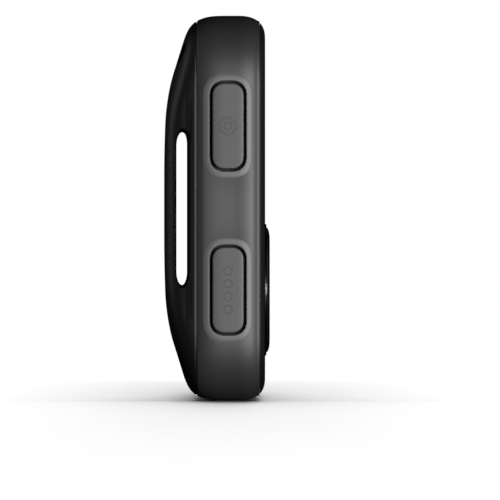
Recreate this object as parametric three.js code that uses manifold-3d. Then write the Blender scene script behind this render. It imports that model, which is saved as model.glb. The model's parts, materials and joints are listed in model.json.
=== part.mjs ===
// A handheld cycling computer: a display over a round navigation pad on the front, buttons and a charging port
// in the two sides, and a hump on the back that a strap threads through.
//
// Frame: +Z runs up the long way, -Y is the front, and the origin is under the middle of the case, at its lowest
// point. Everything is in millimetres.
import * as THREE from "three";
import { mergeVertices } from "three/addons/utils/BufferGeometryUtils.js";
import Module from "manifold-3d";

const wasm = await Module();
wasm.setup();

// ---------------------------------------------------------------- driving dimensions

// The case, from the front face to the back of the hump.
const HEIGHT = 70;
const WIDTH = 46;
const PAD_PROUD = 0.85; // the navigation pad stands this far out of the front face
const RIM_DEPTH = 1; // the front shell's edge, as seen from the side
const BAND_DEPTH = 11.45; // the mid frame, seam to seam
const HUMP_DEPTH = 5.9; // the back shell, seam to back
const CORNER = 14; // each corner of the outline is a quarter of a superellipse this long
const CORNER_POWER = 2.65;
const WALL = 2.6; // the mid frame's side wall, at its thickest
const FRONT_WALL = 1.5;
const BACK_WALL = 1.6;
const SEAM_CHAMFER = 0.3;

// The crown: the sides are flat for a little, then draw in towards the front face and towards the back seam.
const CROWN_FLAT = 0.515 * BAND_DEPTH;
const CROWN_FROM_FRONT = RIM_DEPTH + 0.29 * BAND_DEPTH; // where the flat begins
const FRONT_TUCK = 4.05;
const FRONT_POWER = 2.23;
const BACK_TUCK = 0.9;
const BACK_POWER = 1.08;
const HUMP_SIDE_TUCK = 8.5; // the hump's sides draw in this much more before its back
const HUMP_SIDE_POWER = 3;

// Running and assembly clearances.
const FIT = 0.15; // around a piece that is only dropped into place
const SLIDE = 0.1; // around a plunger or a pin
const MOAT = 0.67; // the open ring around a side button

// The ribs and seals that join the three shells.
const RIB_GAP = 0.15;
const RIB_WIDTH = 0.9;
const RIB_REACH = 1.1;
const SEAL_WIDTH = 0.5;
const SEAL_DEPTH = 0.35;
const SEAL_EDGE = 0.4; // the wall that is left outside a seal's groove

// The strap tunnel through the hump.
const TUNNEL_LENGTH = 28;
const TUNNEL_HEIGHT = 2.07;
const TUNNEL_FLOOR = 1.73; // the wall between the seam and the tunnel
const TUNNEL_END = 1.8; // how long the tunnel's rounded ends are
const FLARE = 2.2; // how much wider the tunnel's mouths would be on each side, at FLARE_INSET from the side
const FLARE_INSET = 0.7;
const FLARE_DEPTH = 3.5;

// The side buttons, and the boot that holds each of them.
const WELL_WIDTH = 0.6 * BAND_DEPTH; // across Y
const WELL_LENGTH = 16.64; // along Z
const WELL_CORNER = 3;
const WELL_POWER = 2.4;
const BUTTON_OFFSET = 14.85; // the buttons' middles, above and below the middle of the case
const BUTTON_PROUD = 0.22;
const BUTTON_TRAVEL = 0.3;
const COLLAR_WIDTH = 1.08; // the boot's lip, which shows around the moat
const COLLAR_PROUD = 0.12;
const COLLAR_DEPTH = 0.8; // how deep the lip is let into the frame
const SLEEVE_WALL = 0.4;
const MEMBRANE = 0.55;

// The side switches.
const SWITCH_LENGTH = 4.7; // along Z
const SWITCH_DEPTH = 3.4; // along X
const SWITCH_HEIGHT = 1.65; // off the board
const SWITCH_FROM_WALL = 1.4; // from the frame's inside to the switch
const PLUNGER_WIDTH = 0.9;
const PLUNGER_LENGTH = 2;
const PLUNGER_REACH = 0.6;

// The charging port and its door.
const DOOR_LENGTH = 14.2; // along Z, without the hinge tab
const DOOR_THICKNESS = 1.6;
const DOOR_GAP = 0.2;
const HINGE_TAB_WIDTH = 4.4;
const HINGE_BELOW_DOOR = 1.2; // the hinge's axis, below the door's lower end
const HINGE_RADIUS = 0.8;
const HINGE_PIN_RADIUS = 0.4;
const HINGE_PIN_LENGTH = 7.4;
const PORT_OPENING_WIDTH = 4.4; // across Y
const PORT_OPENING_LENGTH = 9.4; // along Z
const SOCKET_WIDTH = 7.5;
const SOCKET_HEIGHT = 2.6;
const SOCKET_DEPTH = 5.2;
const SOCKET_WALL = 0.35;
const SOCKET_TONGUE = 0.5;

// The display.
const LENS_WIDTH = 35.2;
const LENS_HEIGHT = 29;
const LENS_CORNER = 4.5;
const LENS_THICKNESS = 0.75;
const LENS_TAPE = 0.1;
const LENS_SUNK = 0.05; // the lens lies this far below the front face
const LENS_ABOVE_PAD = 2.85;
const LENS_LEDGE = 2; // the rim of front shell that the lens is taped to
const PANEL_MARGIN = 0.6; // the panel is this much narrower than the lens, all round
const PANEL_THICKNESS = 1.4;
const BACKLIGHT_THICKNESS = 1.2;
const HOLDER_WALL = 1;

// The navigation pad.
const PAD_HEIGHT_ABOVE_BASE = 20.15;
const TRIM_RADIUS = 12;
const TRIM_WIDTH = 0.45;
const TRIM_PROUD = 0.25;
const TRIM_SUNK = 0.55;
const PAD_GAP = 0.15;
const PAD_EDGE = 2.2; // how wide the pad's rounded edge is
const PAD_DISH = 0.25; // how far the pad dips towards its middle
const PAD_SKIN = 1.2;
const FLANGE_REACH = 0.9;
const FLANGE_THICKNESS = 0.5;
const FLANGE_GAP = 0.55;
const NUB_CIRCLE = TRIM_RADIUS / 1.5;
const NUB_RADIUS = 1;
const SELECT_RADIUS = 4;
const SELECT_GAP = 0.2;
const SELECT_SUNK = 0.12; // the middle button's top, below the pad's highest ring
const SELECT_THICKNESS = 1.2;
const STEM_RADIUS = 1.8;
const PIVOT_WALL = 0.8;
const KEYMAT_THICKNESS = 0.4;
const DOME_RADIUS = 2;
const DOME_HEIGHT = 0.18;
const DOME_FILM = 0.12;
const NAV_BOARD_THICKNESS = 0.8;
const NAV_BOARD_SIZE = 2.2 * TRIM_RADIUS;
const NAV_POST_OFFSET = TRIM_RADIUS - 0.7; // the posts' middles, from the pad's axis, across X and Z
const NAV_POST_RADIUS = 1.5;
const NAV_SCREW_RADIUS = 0.6;

// The main board and what is on it.
const BOARD_THICKNESS = 1;
const BOARD_MARGIN = 1.3; // from the mid frame's inside
const SHIELD = { width: 16, height: 13, depth: 2.1, wall: 0.25 };
const RADIO = { width: 9, height: 9, depth: 1.6 };
const GPS_ANTENNA = { width: 10, height: 3.2, depth: 2 };
const RADIO_ANTENNA = { width: 6.5, height: 2, depth: 1.1 };
const CONNECTOR = { width: 11, height: 2.2, depth: 1 };
const FLEX_WIDTH = 9;
const FLEX_THICKNESS = 0.2;
const FLEX_BEND = 0.7;

// The battery.
const BATTERY_WIDTH = 30;
const BATTERY_HEIGHT = 38;
const BATTERY_GAP = 0.3; // between the battery and the back shell
const BATTERY_TAPE = 0.3;
const BATTERY_EDGE = 1.2;
const GUARD_BOARD = { width: 24, height: 3, depth: 0.8 };
const LEAD_RADIUS = 0.45;
const PLUG = { width: 4.4, height: 3, depth: 2.2 };
const BUZZER_RADIUS = 4.5;
const BUZZER_THICKNESS = 1.8;

// The four screws that hold the shells together.
const SCREW_INSET_X = 6.8; // from the side of the case to a screw's axis
const SCREW_INSET_Z = 6.8;
const BOSS_RADIUS = 2.1;
const SCREW_RADIUS = 0.8;
const SCREW_HEAD_RADIUS = 1.6;
const SCREW_HEAD = 1;
const SCREW_BITE = 5.5; // how far the screw runs into the front shell's boss
const COLUMN_REACH = 2.45; // the back shell's columns, forward of the seam

// How finely curves are divided.
const CORNER_STEPS = 8;
const SMALL_CORNER_STEPS = 5;
const ROUND = 40;
const SMALL_ROUND = 20;
const TINY_ROUND = 12;

// ---------------------------------------------------------------- places worked out from them

const depth = PAD_PROUD + RIM_DEPTH + BAND_DEPTH + HUMP_DEPTH;
const padTopY = -depth / 2;
const frontFaceY = padTopY + PAD_PROUD;
const frontSeamY = frontFaceY + RIM_DEPTH;
const backSeamY = frontSeamY + BAND_DEPTH;
const backY = backSeamY + HUMP_DEPTH;
const crownY = frontFaceY + CROWN_FROM_FRONT;
const innerY = frontFaceY + FRONT_WALL;
const middleZ = HEIGHT / 2;
const insideX = WIDTH / 2 - WALL;
const crownBackY = crownY + CROWN_FLAT;
const buttonY = (frontSeamY + backSeamY) / 2;
const boardFrontY = buttonY + SWITCH_HEIGHT / 2;
const boardBackY = boardFrontY + BOARD_THICKNESS;
const padZ = PAD_HEIGHT_ABOVE_BASE;
const upperButtonZ = middleZ + BUTTON_OFFSET;
const lowerButtonZ = middleZ - BUTTON_OFFSET;
const lensZ = padZ + TRIM_RADIUS + LENS_ABOVE_PAD + LENS_HEIGHT / 2;
const lensFrontY = frontFaceY + LENS_SUNK;
const lensBackY = lensFrontY + LENS_THICKNESS;
const ledgeY = lensBackY + LENS_TAPE;
const panelFrontY = innerY + 0.1;
const panelBackY = panelFrontY + PANEL_THICKNESS;
const backlightBackY = panelBackY + BACKLIGHT_THICKNESS;
const tunnelFrontY = backSeamY + TUNNEL_FLOOR;
const tunnelY = tunnelFrontY + TUNNEL_HEIGHT / 2;
const batteryFrontY = boardBackY + BATTERY_TAPE;
const batteryZ = middleZ;
const screwX = WIDTH / 2 - SCREW_INSET_X;
const screwZ = middleZ - SCREW_INSET_Z;
const columnY = backSeamY - COLUMN_REACH;

// ---------------------------------------------------------------- solids

// A closed geometry as a manifold-3d solid, so that it can be joined and cut.
function solid(geometry) {
  const bare = geometry.clone();
  bare.deleteAttribute("normal");
  bare.deleteAttribute("uv");
  const merged = mergeVertices(bare, 1e-4);
  return new wasm.Manifold(
    new wasm.Mesh({
      numProp: 3,
      vertProperties: new Float32Array(merged.attributes.position.array),
      triVerts: new Uint32Array(merged.index.array),
    }),
  );
}

function geometryOf(shape) {
  const { numProp, numVert, vertProperties, triVerts } = shape.getMesh();
  const position = new Float32Array(numVert * 3);
  for (let i = 0; i < numVert; i++) {
    position.set(vertProperties.subarray(i * numProp, i * numProp + 3), i * 3);
  }
  const geometry = new THREE.BufferGeometry();
  geometry.setAttribute("position", new THREE.BufferAttribute(position, 3));
  geometry.setIndex(new THREE.BufferAttribute(new Uint32Array(triVerts), 1));
  geometry.computeVertexNormals();
  return geometry;
}

// The outline of a rectangle whose corners are superellipse quarters, drawn in along its normals by inset.
function outline({ halfU, halfV, cornerU, cornerV = cornerU, power = 2, inset = 0, steps = CORNER_STEPS }) {
  const points = [];
  const quarters = [[1, 1], [-1, 1], [-1, -1], [1, -1]];
  quarters.forEach(([signU, signV], quarter) => {
    for (let i = 0; i <= steps; i++) {
      const turn = ((quarter % 2 ? steps - i : i) / steps) * (Math.PI / 2);
      const along = Math.max(0, Math.cos(turn));
      const across = Math.sin(turn);
      const normal = new THREE.Vector2(
        along ** (2 - 2 / power) / cornerU,
        across ** (2 - 2 / power) / cornerV,
      ).normalize();
      const u = halfU - cornerU + cornerU * along ** (2 / power) - inset * normal.x;
      const v = halfV - cornerV + cornerV * across ** (2 / power) - inset * normal.y;
      points.push(new THREE.Vector2(signU * u, signV * v));
    }
  });
  return points;
}

// The case's own outline, drawn in by inset.
const caseOutline = (inset, steps = CORNER_STEPS) =>
  outline({ halfU: WIDTH / 2, halfV: middleZ, cornerU: CORNER, power: CORNER_POWER, inset, steps });

// A closed solid through outlines of equal length. Each section is { at, points, u, v }: its place along the
// axis, its outline, and where the outline's own origin lies. "y" stacks outlines of X and Z, "x" of Y and Z.
function loft(sections, axis = "y") {
  const count = sections[0].points.length;
  const place = (at, u, v) => (axis === "y" ? [u, at, v] : [at, u, v]);
  const position = [];
  sections.forEach(({ at, points, u = 0, v = 0 }) => {
    points.forEach((p) => position.push(...place(at, u + p.x, v + p.y)));
  });
  const ends = [sections[0], sections.at(-1)];
  ends.forEach(({ at, u = 0, v = 0 }) => position.push(...place(at, u, v)));
  const first = sections.length * count;
  const faces = [];
  for (let i = 0; i < count; i++) {
    const next = (i + 1) % count;
    for (let ring = 0; ring + 1 < sections.length; ring++) {
      const low = ring * count;
      const high = low + count;
      faces.push([low + i, low + next, high + next], [low + i, high + next, high + i]);
    }
    faces.push([first, next, i]);
    faces.push([first + 1, first - count + i, first - count + next]);
  }
  const rising = sections.at(-1).at > sections[0].at;
  const turned = rising === (axis === "y");
  const geometry = new THREE.BufferGeometry();
  geometry.setAttribute("position", new THREE.Float32BufferAttribute(position, 3));
  geometry.setIndex((turned ? faces.map(([a, b, c]) => [a, c, b]) : faces).flat());
  return solid(geometry);
}

// A straight prism of an outline, from one place on its axis to another.
const prism = (points, from, to, { u = 0, v = 0, axis = "y" } = {}) =>
  loft([{ at: from, points, u, v }, { at: to, points, u, v }], axis);

// The case outline as a plate or, with a width, as a ring.
const casePlate = (inset, from, to) => prism(caseOutline(inset), from, to, { v: middleZ });
const caseRing = (inset, width, from, to) =>
  casePlate(inset, from, to).subtract(casePlate(inset + width, from - 1, to + 1));

function box(x0, x1, y0, y1, z0, z1) {
  const geometry = new THREE.BoxGeometry(x1 - x0, y1 - y0, z1 - z0);
  return solid(geometry.translate((x0 + x1) / 2, (y0 + y1) / 2, (z0 + z1) / 2));
}

// A block of { width, height, depth } standing on the plane y, forward of it or behind it, about (x, z).
const blockBefore = ({ width, height, depth: deep }, x, y, z) =>
  box(x - width / 2, x + width / 2, y - deep, y, z - height / 2, z + height / 2);
const blockBehind = ({ width, height, depth: deep }, x, y, z) =>
  box(x - width / 2, x + width / 2, y, y + deep, z - height / 2, z + height / 2);

// A cylinder along Y, from one depth to another, about (x, z).
function pillar(radius, from, to, x = 0, z = 0, sides = SMALL_ROUND) {
  const geometry = new THREE.CylinderGeometry(radius, radius, to - from, sides);
  return solid(geometry.translate(x, (from + to) / 2, z));
}

// A solid of revolution about the pad's axis, from a closed profile of [radius, y].
function turned(profile, sides = ROUND) {
  const points = [...profile, profile[0]].map(([radius, y]) => new THREE.Vector2(radius, y));
  return solid(new THREE.LatheGeometry(points, sides).translate(0, 0, padZ));
}

const rounded = (width, height, corner, steps = SMALL_CORNER_STEPS) =>
  outline({ halfU: width / 2, halfV: height / 2, cornerU: corner, steps });

// ---------------------------------------------------------------- the case's outer form

// How far a superellipse has drawn in by the share u of its length.
const drawnIn = (u, amount, power) => amount * (1 - (1 - Math.min(1, u) ** power) ** (1 / power));

function tuck(y) {
  if (y < crownY) return drawnIn((crownY - y) / CROWN_FROM_FRONT, FRONT_TUCK, FRONT_POWER);
  return BACK_TUCK * (Math.max(0, y - crownBackY) / (backSeamY - crownBackY)) ** BACK_POWER;
}

// Depths from the crown to the front face, closer together where the surface turns faster.
function crownDepths(fromY, toY, steps) {
  const turnAt = (y) => Math.asin(Math.min(1, (crownY - y) / CROWN_FROM_FRONT) ** (FRONT_POWER / 2));
  return Array.from({ length: steps + 1 }, (_, i) => {
    const turn = turnAt(fromY) + (i / steps) * (turnAt(toY) - turnAt(fromY));
    return crownY - CROWN_FROM_FRONT * Math.sin(turn) ** (2 / FRONT_POWER);
  });
}

// The band's outer surface as a solid, grown by proud. With a chamfer, its two edges are broken.
function band(proud = 0, chamfer = 0) {
  const edges = [frontSeamY + chamfer, backSeamY - chamfer];
  const before = crownDepths(edges[0], crownY, 4);
  const behind = [0, 0.35, 0.7, 1].map((share) => crownBackY + share * (edges[1] - crownBackY));
  const levels = [...before, ...behind].map((y) => ({ y, inset: tuck(y) - proud }));
  if (chamfer) {
    levels.unshift({ y: frontSeamY, inset: tuck(frontSeamY) + chamfer });
    levels.push({ y: backSeamY, inset: tuck(backSeamY) + chamfer });
  }
  return loft(levels.map(({ y, inset }) => ({ at: y, points: caseOutline(inset), v: middleZ })));
}

// The hump's half length along Z, as a path of (y, half length): a rounded edge, a straight slope, a shoulder.
function humpLevels() {
  const half = middleZ;
  const y = (share) => backSeamY + share * HUMP_DEPTH;
  const path = new THREE.Path();
  path.moveTo(y(0), half - 1.1);
  path.bezierCurveTo(y(0.135), half - 1.3, y(0.28), half - 2.4, y(0.39), half - 4.35);
  path.lineTo(y(0.737), half - 10.9);
  path.bezierCurveTo(y(0.83), half - 12.8, y(0.945), half - 16.1, y(0.97), half - 19.7);
  path.quadraticCurveTo(y(0.99), half - 23, y(1), half - 27);
  return path.getPoints(4).map((p) => ({ y: p.x, halfZ: p.y }));
}

function humpSection({ y, halfZ }, wall = 0) {
  const sideTuck = tuck(backSeamY) + 0.15 + drawnIn((y - backSeamY) / HUMP_DEPTH, HUMP_SIDE_TUCK, HUMP_SIDE_POWER);
  const halfU = WIDTH / 2 - sideTuck - wall;
  const halfV = halfZ - wall;
  const cornerU = Math.min(CORNER - sideTuck - wall, halfU - 2, halfV - 2);
  return { at: y, points: outline({ halfU, halfV, cornerU, power: CORNER_POWER }), v: middleZ };
}

// ---------------------------------------------------------------- materials

const finish = (color, roughness, metalness = 0) => new THREE.MeshStandardMaterial({ color, roughness, metalness });
const frameGrey = finish(0x4b4b4c, 0.55);
const buttonGrey = finish(0x4e4e50, 0.5);
const shellBlack = finish(0x141415, 0.45);
const glossBlack = finish(0x0a0a0b, 0.15);
const lensBlack = finish(0x101214, 0.05);
const siliconeGrey = finish(0x5a5a5b, 0.7);
const siliconeBlack = finish(0x1a1a1a, 0.8);
const anodised = finish(0xc8c9cb, 0.3, 1);
const steel = finish(0xb4b6b8, 0.3, 1);
const boardGreen = finish(0x1d4a2c, 0.5);
const glassGrey = finish(0x8f9a8c, 0.2);
const whitePlastic = finish(0xe6e6e2, 0.5);
const blackPlastic = finish(0x1c1c1e, 0.6);
const foil = finish(0xc2c4c6, 0.35, 0.6);
const ceramic = finish(0xd8cfb8, 0.6);
const amberFilm = finish(0xb8742a, 0.4);
const redWire = finish(0xa51d1d, 0.5);

const device = new THREE.Group();

function add(name, shape, material) {
  const mesh = new THREE.Mesh(geometryOf(shape), material);
  mesh.name = name;
  device.add(mesh);
}

// ---------------------------------------------------------------- shells and seals

const sealInset = (seamY) => tuck(seamY) + SEAM_CHAMFER / 2 + SEAL_EDGE;
const ribInset = WALL + RIB_GAP;

// The four places where a screw runs through the case.
const screwPlaces = [
  { side: "upper_left", x: -screwX, z: middleZ + screwZ },
  { side: "upper_right", x: screwX, z: middleZ + screwZ },
  { side: "lower_left", x: -screwX, z: middleZ - screwZ },
  { side: "lower_right", x: screwX, z: middleZ - screwZ },
];

const navPosts = [
  { side: "left", x: -NAV_POST_OFFSET, z: padZ + NAV_POST_OFFSET },
  { side: "right", x: NAV_POST_OFFSET, z: padZ - NAV_POST_OFFSET },
];

const flangeFrontY = innerY + FLANGE_GAP;
const flangeBackY = flangeFrontY + FLANGE_THICKNESS;
const keymatFrontY = flangeBackY + KEYMAT_THICKNESS;
const domeFrontY = keymatFrontY + KEYMAT_THICKNESS + 0.05;
const navBoardY = domeFrontY + DOME_HEIGHT + DOME_FILM;

function frontShell() {
  const depths = [frontFaceY, ...crownDepths(frontFaceY, frontSeamY, 5).slice(1)];
  const levels = depths.map((y) => ({ at: y, points: caseOutline(tuck(y)), v: middleZ }));
  let shell = loft(levels)
    .add(casePlate(ribInset, frontSeamY - 0.2, innerY))
    .add(caseRing(ribInset, RIB_WIDTH, innerY - 0.2, innerY + RIB_REACH));
  for (const { x, z } of screwPlaces) {
    shell = shell.add(pillar(BOSS_RADIUS, innerY - 0.2, columnY, x, z));
    shell = shell.subtract(pillar(SCREW_RADIUS + 0.05, columnY - SCREW_BITE - 1, columnY + 1, x, z, TINY_ROUND));
  }
  for (const { x, z } of navPosts) {
    shell = shell.add(pillar(NAV_POST_RADIUS, innerY - 0.2, navBoardY, x, z, TINY_ROUND));
    shell = shell.subtract(pillar(NAV_SCREW_RADIUS + 0.05, innerY + 0.3, navBoardY + 1, x, z, TINY_ROUND));
  }
  const lensHole = rounded(LENS_WIDTH + 2 * FIT, LENS_HEIGHT + 2 * FIT, LENS_CORNER + FIT);
  const window = rounded(LENS_WIDTH - 2 * LENS_LEDGE, LENS_HEIGHT - 2 * LENS_LEDGE, LENS_CORNER - LENS_LEDGE);
  return shell
    .subtract(prism(lensHole, frontFaceY - 1, ledgeY, { v: lensZ }))
    .subtract(prism(window, frontFaceY - 1, innerY + 1, { v: lensZ }))
    .subtract(pillar(TRIM_RADIUS + FIT / 2, frontFaceY - 1, frontFaceY + TRIM_SUNK, 0, padZ, ROUND))
    .subtract(pillar(TRIM_RADIUS - TRIM_WIDTH / 2, frontFaceY - 1, innerY + 1, 0, padZ, ROUND));
}

// The opening for a boot: a shallow seat for its lip, and a hole for its sleeve.
const wellOutline = (grown) =>
  outline({
    halfU: WELL_WIDTH / 2 + grown,
    halfV: WELL_LENGTH / 2 + grown,
    cornerU: WELL_CORNER + grown,
    power: WELL_POWER,
    steps: SMALL_CORNER_STEPS,
  });
const sideX = WIDTH / 2;

function bootOpening(side, z) {
  const at = { u: buttonY, v: z, axis: "x" };
  const seat = prism(wellOutline(COLLAR_WIDTH + 0.05), side * (sideX - COLLAR_DEPTH), side * (sideX + 1), at);
  const hole = prism(wellOutline(SLEEVE_WALL + 0.05), side * (insideX - 1), side * (sideX + 1), at);
  return seat.add(hole);
}

const doorTopZ = lowerButtonZ + DOOR_LENGTH / 2 + HINGE_BELOW_DOOR / 2;
const doorBottomZ = doorTopZ - DOOR_LENGTH;
const doorZ = (doorTopZ + doorBottomZ) / 2;
const hingeZ = doorBottomZ - HINGE_BELOW_DOOR;
const hingeX = sideX - HINGE_RADIUS - 0.1;
const doorInnerX = hingeX - HINGE_RADIUS;
const doorOutline = (grown) =>
  outline({
    halfU: WELL_WIDTH / 2 - DOOR_GAP + grown,
    halfV: DOOR_LENGTH / 2 + grown,
    cornerU: WELL_CORNER - DOOR_GAP + grown,
    power: WELL_POWER,
    steps: SMALL_CORNER_STEPS,
  });

function doorOpening() {
  const recessX = doorInnerX - DOOR_GAP;
  const at = { u: buttonY, v: doorZ, axis: "x" };
  const halfTab = HINGE_TAB_WIDTH / 2 + DOOR_GAP;
  const notch = new THREE.CylinderGeometry(1.6, 1.6, 2, SMALL_ROUND).rotateZ(Math.PI / 2);
  return prism(doorOutline(DOOR_GAP), recessX, sideX + 1, at)
    .add(
      box(
        recessX,
        sideX + 1,
        buttonY - halfTab,
        buttonY + halfTab,
        hingeZ - HINGE_RADIUS - 2 * DOOR_GAP,
        doorBottomZ + WELL_CORNER,
      ),
    )
    .add(solid(notch.translate(sideX + 0.3, buttonY, doorTopZ + 0.2)))
    .add(
      prism(
        rounded(PORT_OPENING_WIDTH, PORT_OPENING_LENGTH, 1.2),
        insideX - 1,
        sideX + 1,
        { u: buttonY, v: lowerButtonZ, axis: "x" },
      ),
    )
    .add(hingePin(SLIDE / 2));
}

function hingePin(grown) {
  const half = HINGE_PIN_LENGTH / 2 + grown;
  return pillar(HINGE_PIN_RADIUS + grown, buttonY - half, buttonY + half, hingeX, hingeZ, TINY_ROUND);
}

function midFrame() {
  return band(0, SEAM_CHAMFER)
    .subtract(casePlate(WALL, frontSeamY - 1, backSeamY + 1))
    .subtract(caseRing(sealInset(frontSeamY) - 0.05, SEAL_WIDTH + 0.1, frontSeamY - 1, frontSeamY + SEAL_DEPTH))
    .subtract(caseRing(sealInset(backSeamY) - 0.05, SEAL_WIDTH + 0.1, backSeamY - SEAL_DEPTH, backSeamY + 1))
    .subtract(bootOpening(-1, upperButtonZ))
    .subtract(bootOpening(-1, lowerButtonZ))
    .subtract(bootOpening(1, upperButtonZ))
    .subtract(doorOpening());
}

// The strap tunnel, with a mouth that opens out at each side.
function tunnel() {
  const half = { u: TUNNEL_HEIGHT / 2, v: TUNNEL_LENGTH / 2 };
  const slot = (grown) =>
    outline({
      halfU: half.u + grown,
      halfV: half.v + grown,
      cornerU: half.u + grown - 0.02,
      cornerV: TUNNEL_END + grown,
      power: 2.2,
      steps: SMALL_CORNER_STEPS,
    });
  const at = { u: tunnelY, v: middleZ, axis: "x" };
  let cut = prism(slot(0), -sideX, sideX, at);
  for (const side of [-1, 1]) {
    const shares = [0, 0.15, 0.4, 0.7, 1];
    const mouth = shares.map((share) => ({
      at: side * (sideX - FLARE_INSET - share * FLARE_DEPTH),
      points: slot(drawnIn(1 - share, FLARE, 2) + 0.001),
      u: tunnelY,
      v: middleZ,
    }));
    cut = cut.add(loft(mouth, "x"));
  }
  return cut;
}

function backShell() {
  const levels = humpLevels();
  const outer = loft([
    { at: backSeamY, points: caseOutline(tuck(backSeamY) + SEAM_CHAMFER), v: middleZ },
    ...levels.map((level, i) => humpSection(i ? level : { ...level, y: backSeamY + SEAM_CHAMFER })),
  ]);
  const pocketEnd = TUNNEL_LENGTH / 2 + FLARE / 2 + BACK_WALL;
  const hollow = loft(
    levels
      .filter(({ y }) => y < backY - HUMP_DEPTH / 3)
      .map(({ y, halfZ }, i) => {
        const section = humpSection({ y, halfZ }, BACK_WALL + 0.6);
        return { ...section, at: i ? y - BACK_WALL / 2 : backSeamY - 1 };
      }),
  ).subtract(
    box(-sideX, sideX, backSeamY - 2, backY, middleZ - pocketEnd, middleZ + pocketEnd),
  );
  let shell = outer.subtract(hollow).subtract(tunnel());
  shell = shell.add(caseRing(ribInset, RIB_WIDTH, backSeamY - RIB_REACH, backSeamY + 0.2));
  for (const { x, z } of screwPlaces) {
    shell = shell.add(pillar(BOSS_RADIUS, columnY, backSeamY + 1.6, x, z));
  }
  for (const { x, z } of screwPlaces) {
    shell = shell
      .subtract(pillar(SCREW_RADIUS + SLIDE, columnY - 1, backY, x, z, TINY_ROUND))
      .subtract(pillar(SCREW_HEAD_RADIUS + FIT, backSeamY, backY, x, z));
  }
  return shell;
}

function shells() {
  add("front_shell", frontShell(), shellBlack);
  add("mid_frame", midFrame(), frameGrey);
  add("back_shell", backShell(), shellBlack);
  add(
    "front_seal",
    caseRing(sealInset(frontSeamY), SEAL_WIDTH, frontSeamY, frontSeamY + SEAL_DEPTH),
    siliconeBlack,
  );
  add(
    "back_seal",
    caseRing(sealInset(backSeamY), SEAL_WIDTH, backSeamY - SEAL_DEPTH, backSeamY),
    siliconeBlack,
  );
  for (const { side, x, z } of screwPlaces) {
    const shank = pillar(SCREW_RADIUS, columnY - SCREW_BITE, backSeamY + 0.2, x, z, TINY_ROUND);
    const head = pillar(SCREW_HEAD_RADIUS, backSeamY, backSeamY + SCREW_HEAD, x, z);
    const slot = new THREE.CylinderGeometry(0.75, 0.75, 1.2, 6).translate(x, backSeamY + SCREW_HEAD, z);
    add("case_screw_" + side, shank.add(head).subtract(solid(slot)), steel);
  }
}

// ---------------------------------------------------------------- display

function display() {
  const lens = rounded(LENS_WIDTH, LENS_HEIGHT, LENS_CORNER);
  const window = rounded(LENS_WIDTH - 2 * LENS_LEDGE, LENS_HEIGHT - 2 * LENS_LEDGE, LENS_CORNER - LENS_LEDGE);
  const at = { v: lensZ };
  add("display_lens", prism(lens, lensFrontY, lensBackY, at), lensBlack);
  const tape = prism(lens, lensBackY, ledgeY, at);
  add("lens_gasket", tape.subtract(prism(window, lensBackY - 1, ledgeY + 1, at)), siliconeBlack);

  // The panel reaches from the lens's lower edge up to the screw bosses.
  const bottom = lensZ - LENS_HEIGHT / 2 + PANEL_MARGIN;
  const top = middleZ + screwZ - BOSS_RADIUS - PANEL_MARGIN / 2;
  const z = (bottom + top) / 2;
  const panel = { width: LENS_WIDTH - 2 * PANEL_MARGIN, height: top - bottom };
  add("display_panel", blockBehind({ ...panel, depth: PANEL_THICKNESS }, 0, panelFrontY, z), glassGrey);
  add("backlight", blockBehind({ ...panel, depth: BACKLIGHT_THICKNESS }, 0, panelBackY, z), whitePlastic);
  // The holder stands on the board between the side switches.
  const deep = boardFrontY - backlightBackY;
  const width = 2 * (switchX - SWITCH_DEPTH) - 2;
  const holder = { width, height: panel.height, depth: deep };
  const hole = { width: width - 2 * HOLDER_WALL, height: panel.height - 2 * HOLDER_WALL, depth: deep + 2 };
  const frame = blockBefore(holder, 0, boardFrontY, z);
  add("display_holder", frame.subtract(blockBefore(hole, 0, boardFrontY + 1, z)), blackPlastic);

  // The flexible circuit leaves the panel's lower edge, turns back under the holder and meets its connector.
  const exitY = panelFrontY + 0.6;
  const landY = boardFrontY - CONNECTOR.depth / 2 - FLEX_THICKNESS / 2;
  const connectorZ = bottom - 4.1;
  const side = new THREE.Shape();
  const turnZ = bottom - 1.4;
  side.moveTo(exitY, bottom);
  side.lineTo(exitY, turnZ + FLEX_BEND);
  side.absarc(exitY + FLEX_BEND, turnZ + FLEX_BEND, FLEX_BEND, Math.PI, 1.5 * Math.PI, false);
  side.lineTo(landY - FLEX_BEND, turnZ);
  side.lineTo(landY, turnZ - FLEX_BEND);
  side.lineTo(landY, connectorZ + CONNECTOR.height / 2);
  side.lineTo(landY + FLEX_THICKNESS, connectorZ + CONNECTOR.height / 2);
  side.lineTo(landY + FLEX_THICKNESS, turnZ - FLEX_BEND + FLEX_THICKNESS / 2);
  side.lineTo(landY - FLEX_BEND + FLEX_THICKNESS, turnZ + FLEX_THICKNESS);
  side.lineTo(exitY + FLEX_BEND, turnZ + FLEX_THICKNESS);
  side.absarc(
    exitY + FLEX_BEND,
    turnZ + FLEX_BEND,
    FLEX_BEND - FLEX_THICKNESS,
    1.5 * Math.PI,
    Math.PI,
    true,
  );
  side.lineTo(exitY + FLEX_THICKNESS, bottom);
  const ribbon = new THREE.ExtrudeGeometry(side, { depth: FLEX_WIDTH, bevelEnabled: false, curveSegments: 4 });
  const turn = new THREE.Matrix4().makeBasis(
    new THREE.Vector3(0, 1, 0),
    new THREE.Vector3(0, 0, 1),
    new THREE.Vector3(1, 0, 0),
  );
  ribbon.applyMatrix4(turn).translate(-FLEX_WIDTH / 2, 0, 0);
  add("display_flex", solid(ribbon), amberFilm);
  add("display_connector", blockBefore(CONNECTOR, 0, boardFrontY, connectorZ), whitePlastic);
}

// ---------------------------------------------------------------- navigation pad

const padRadius = TRIM_RADIUS - TRIM_WIDTH - PAD_GAP;
const shelfY = padTopY + PAD_DISH + SELECT_THICKNESS + 0.65;
const pivotRadius = STEM_RADIUS + SELECT_GAP + PIVOT_WALL;

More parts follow.
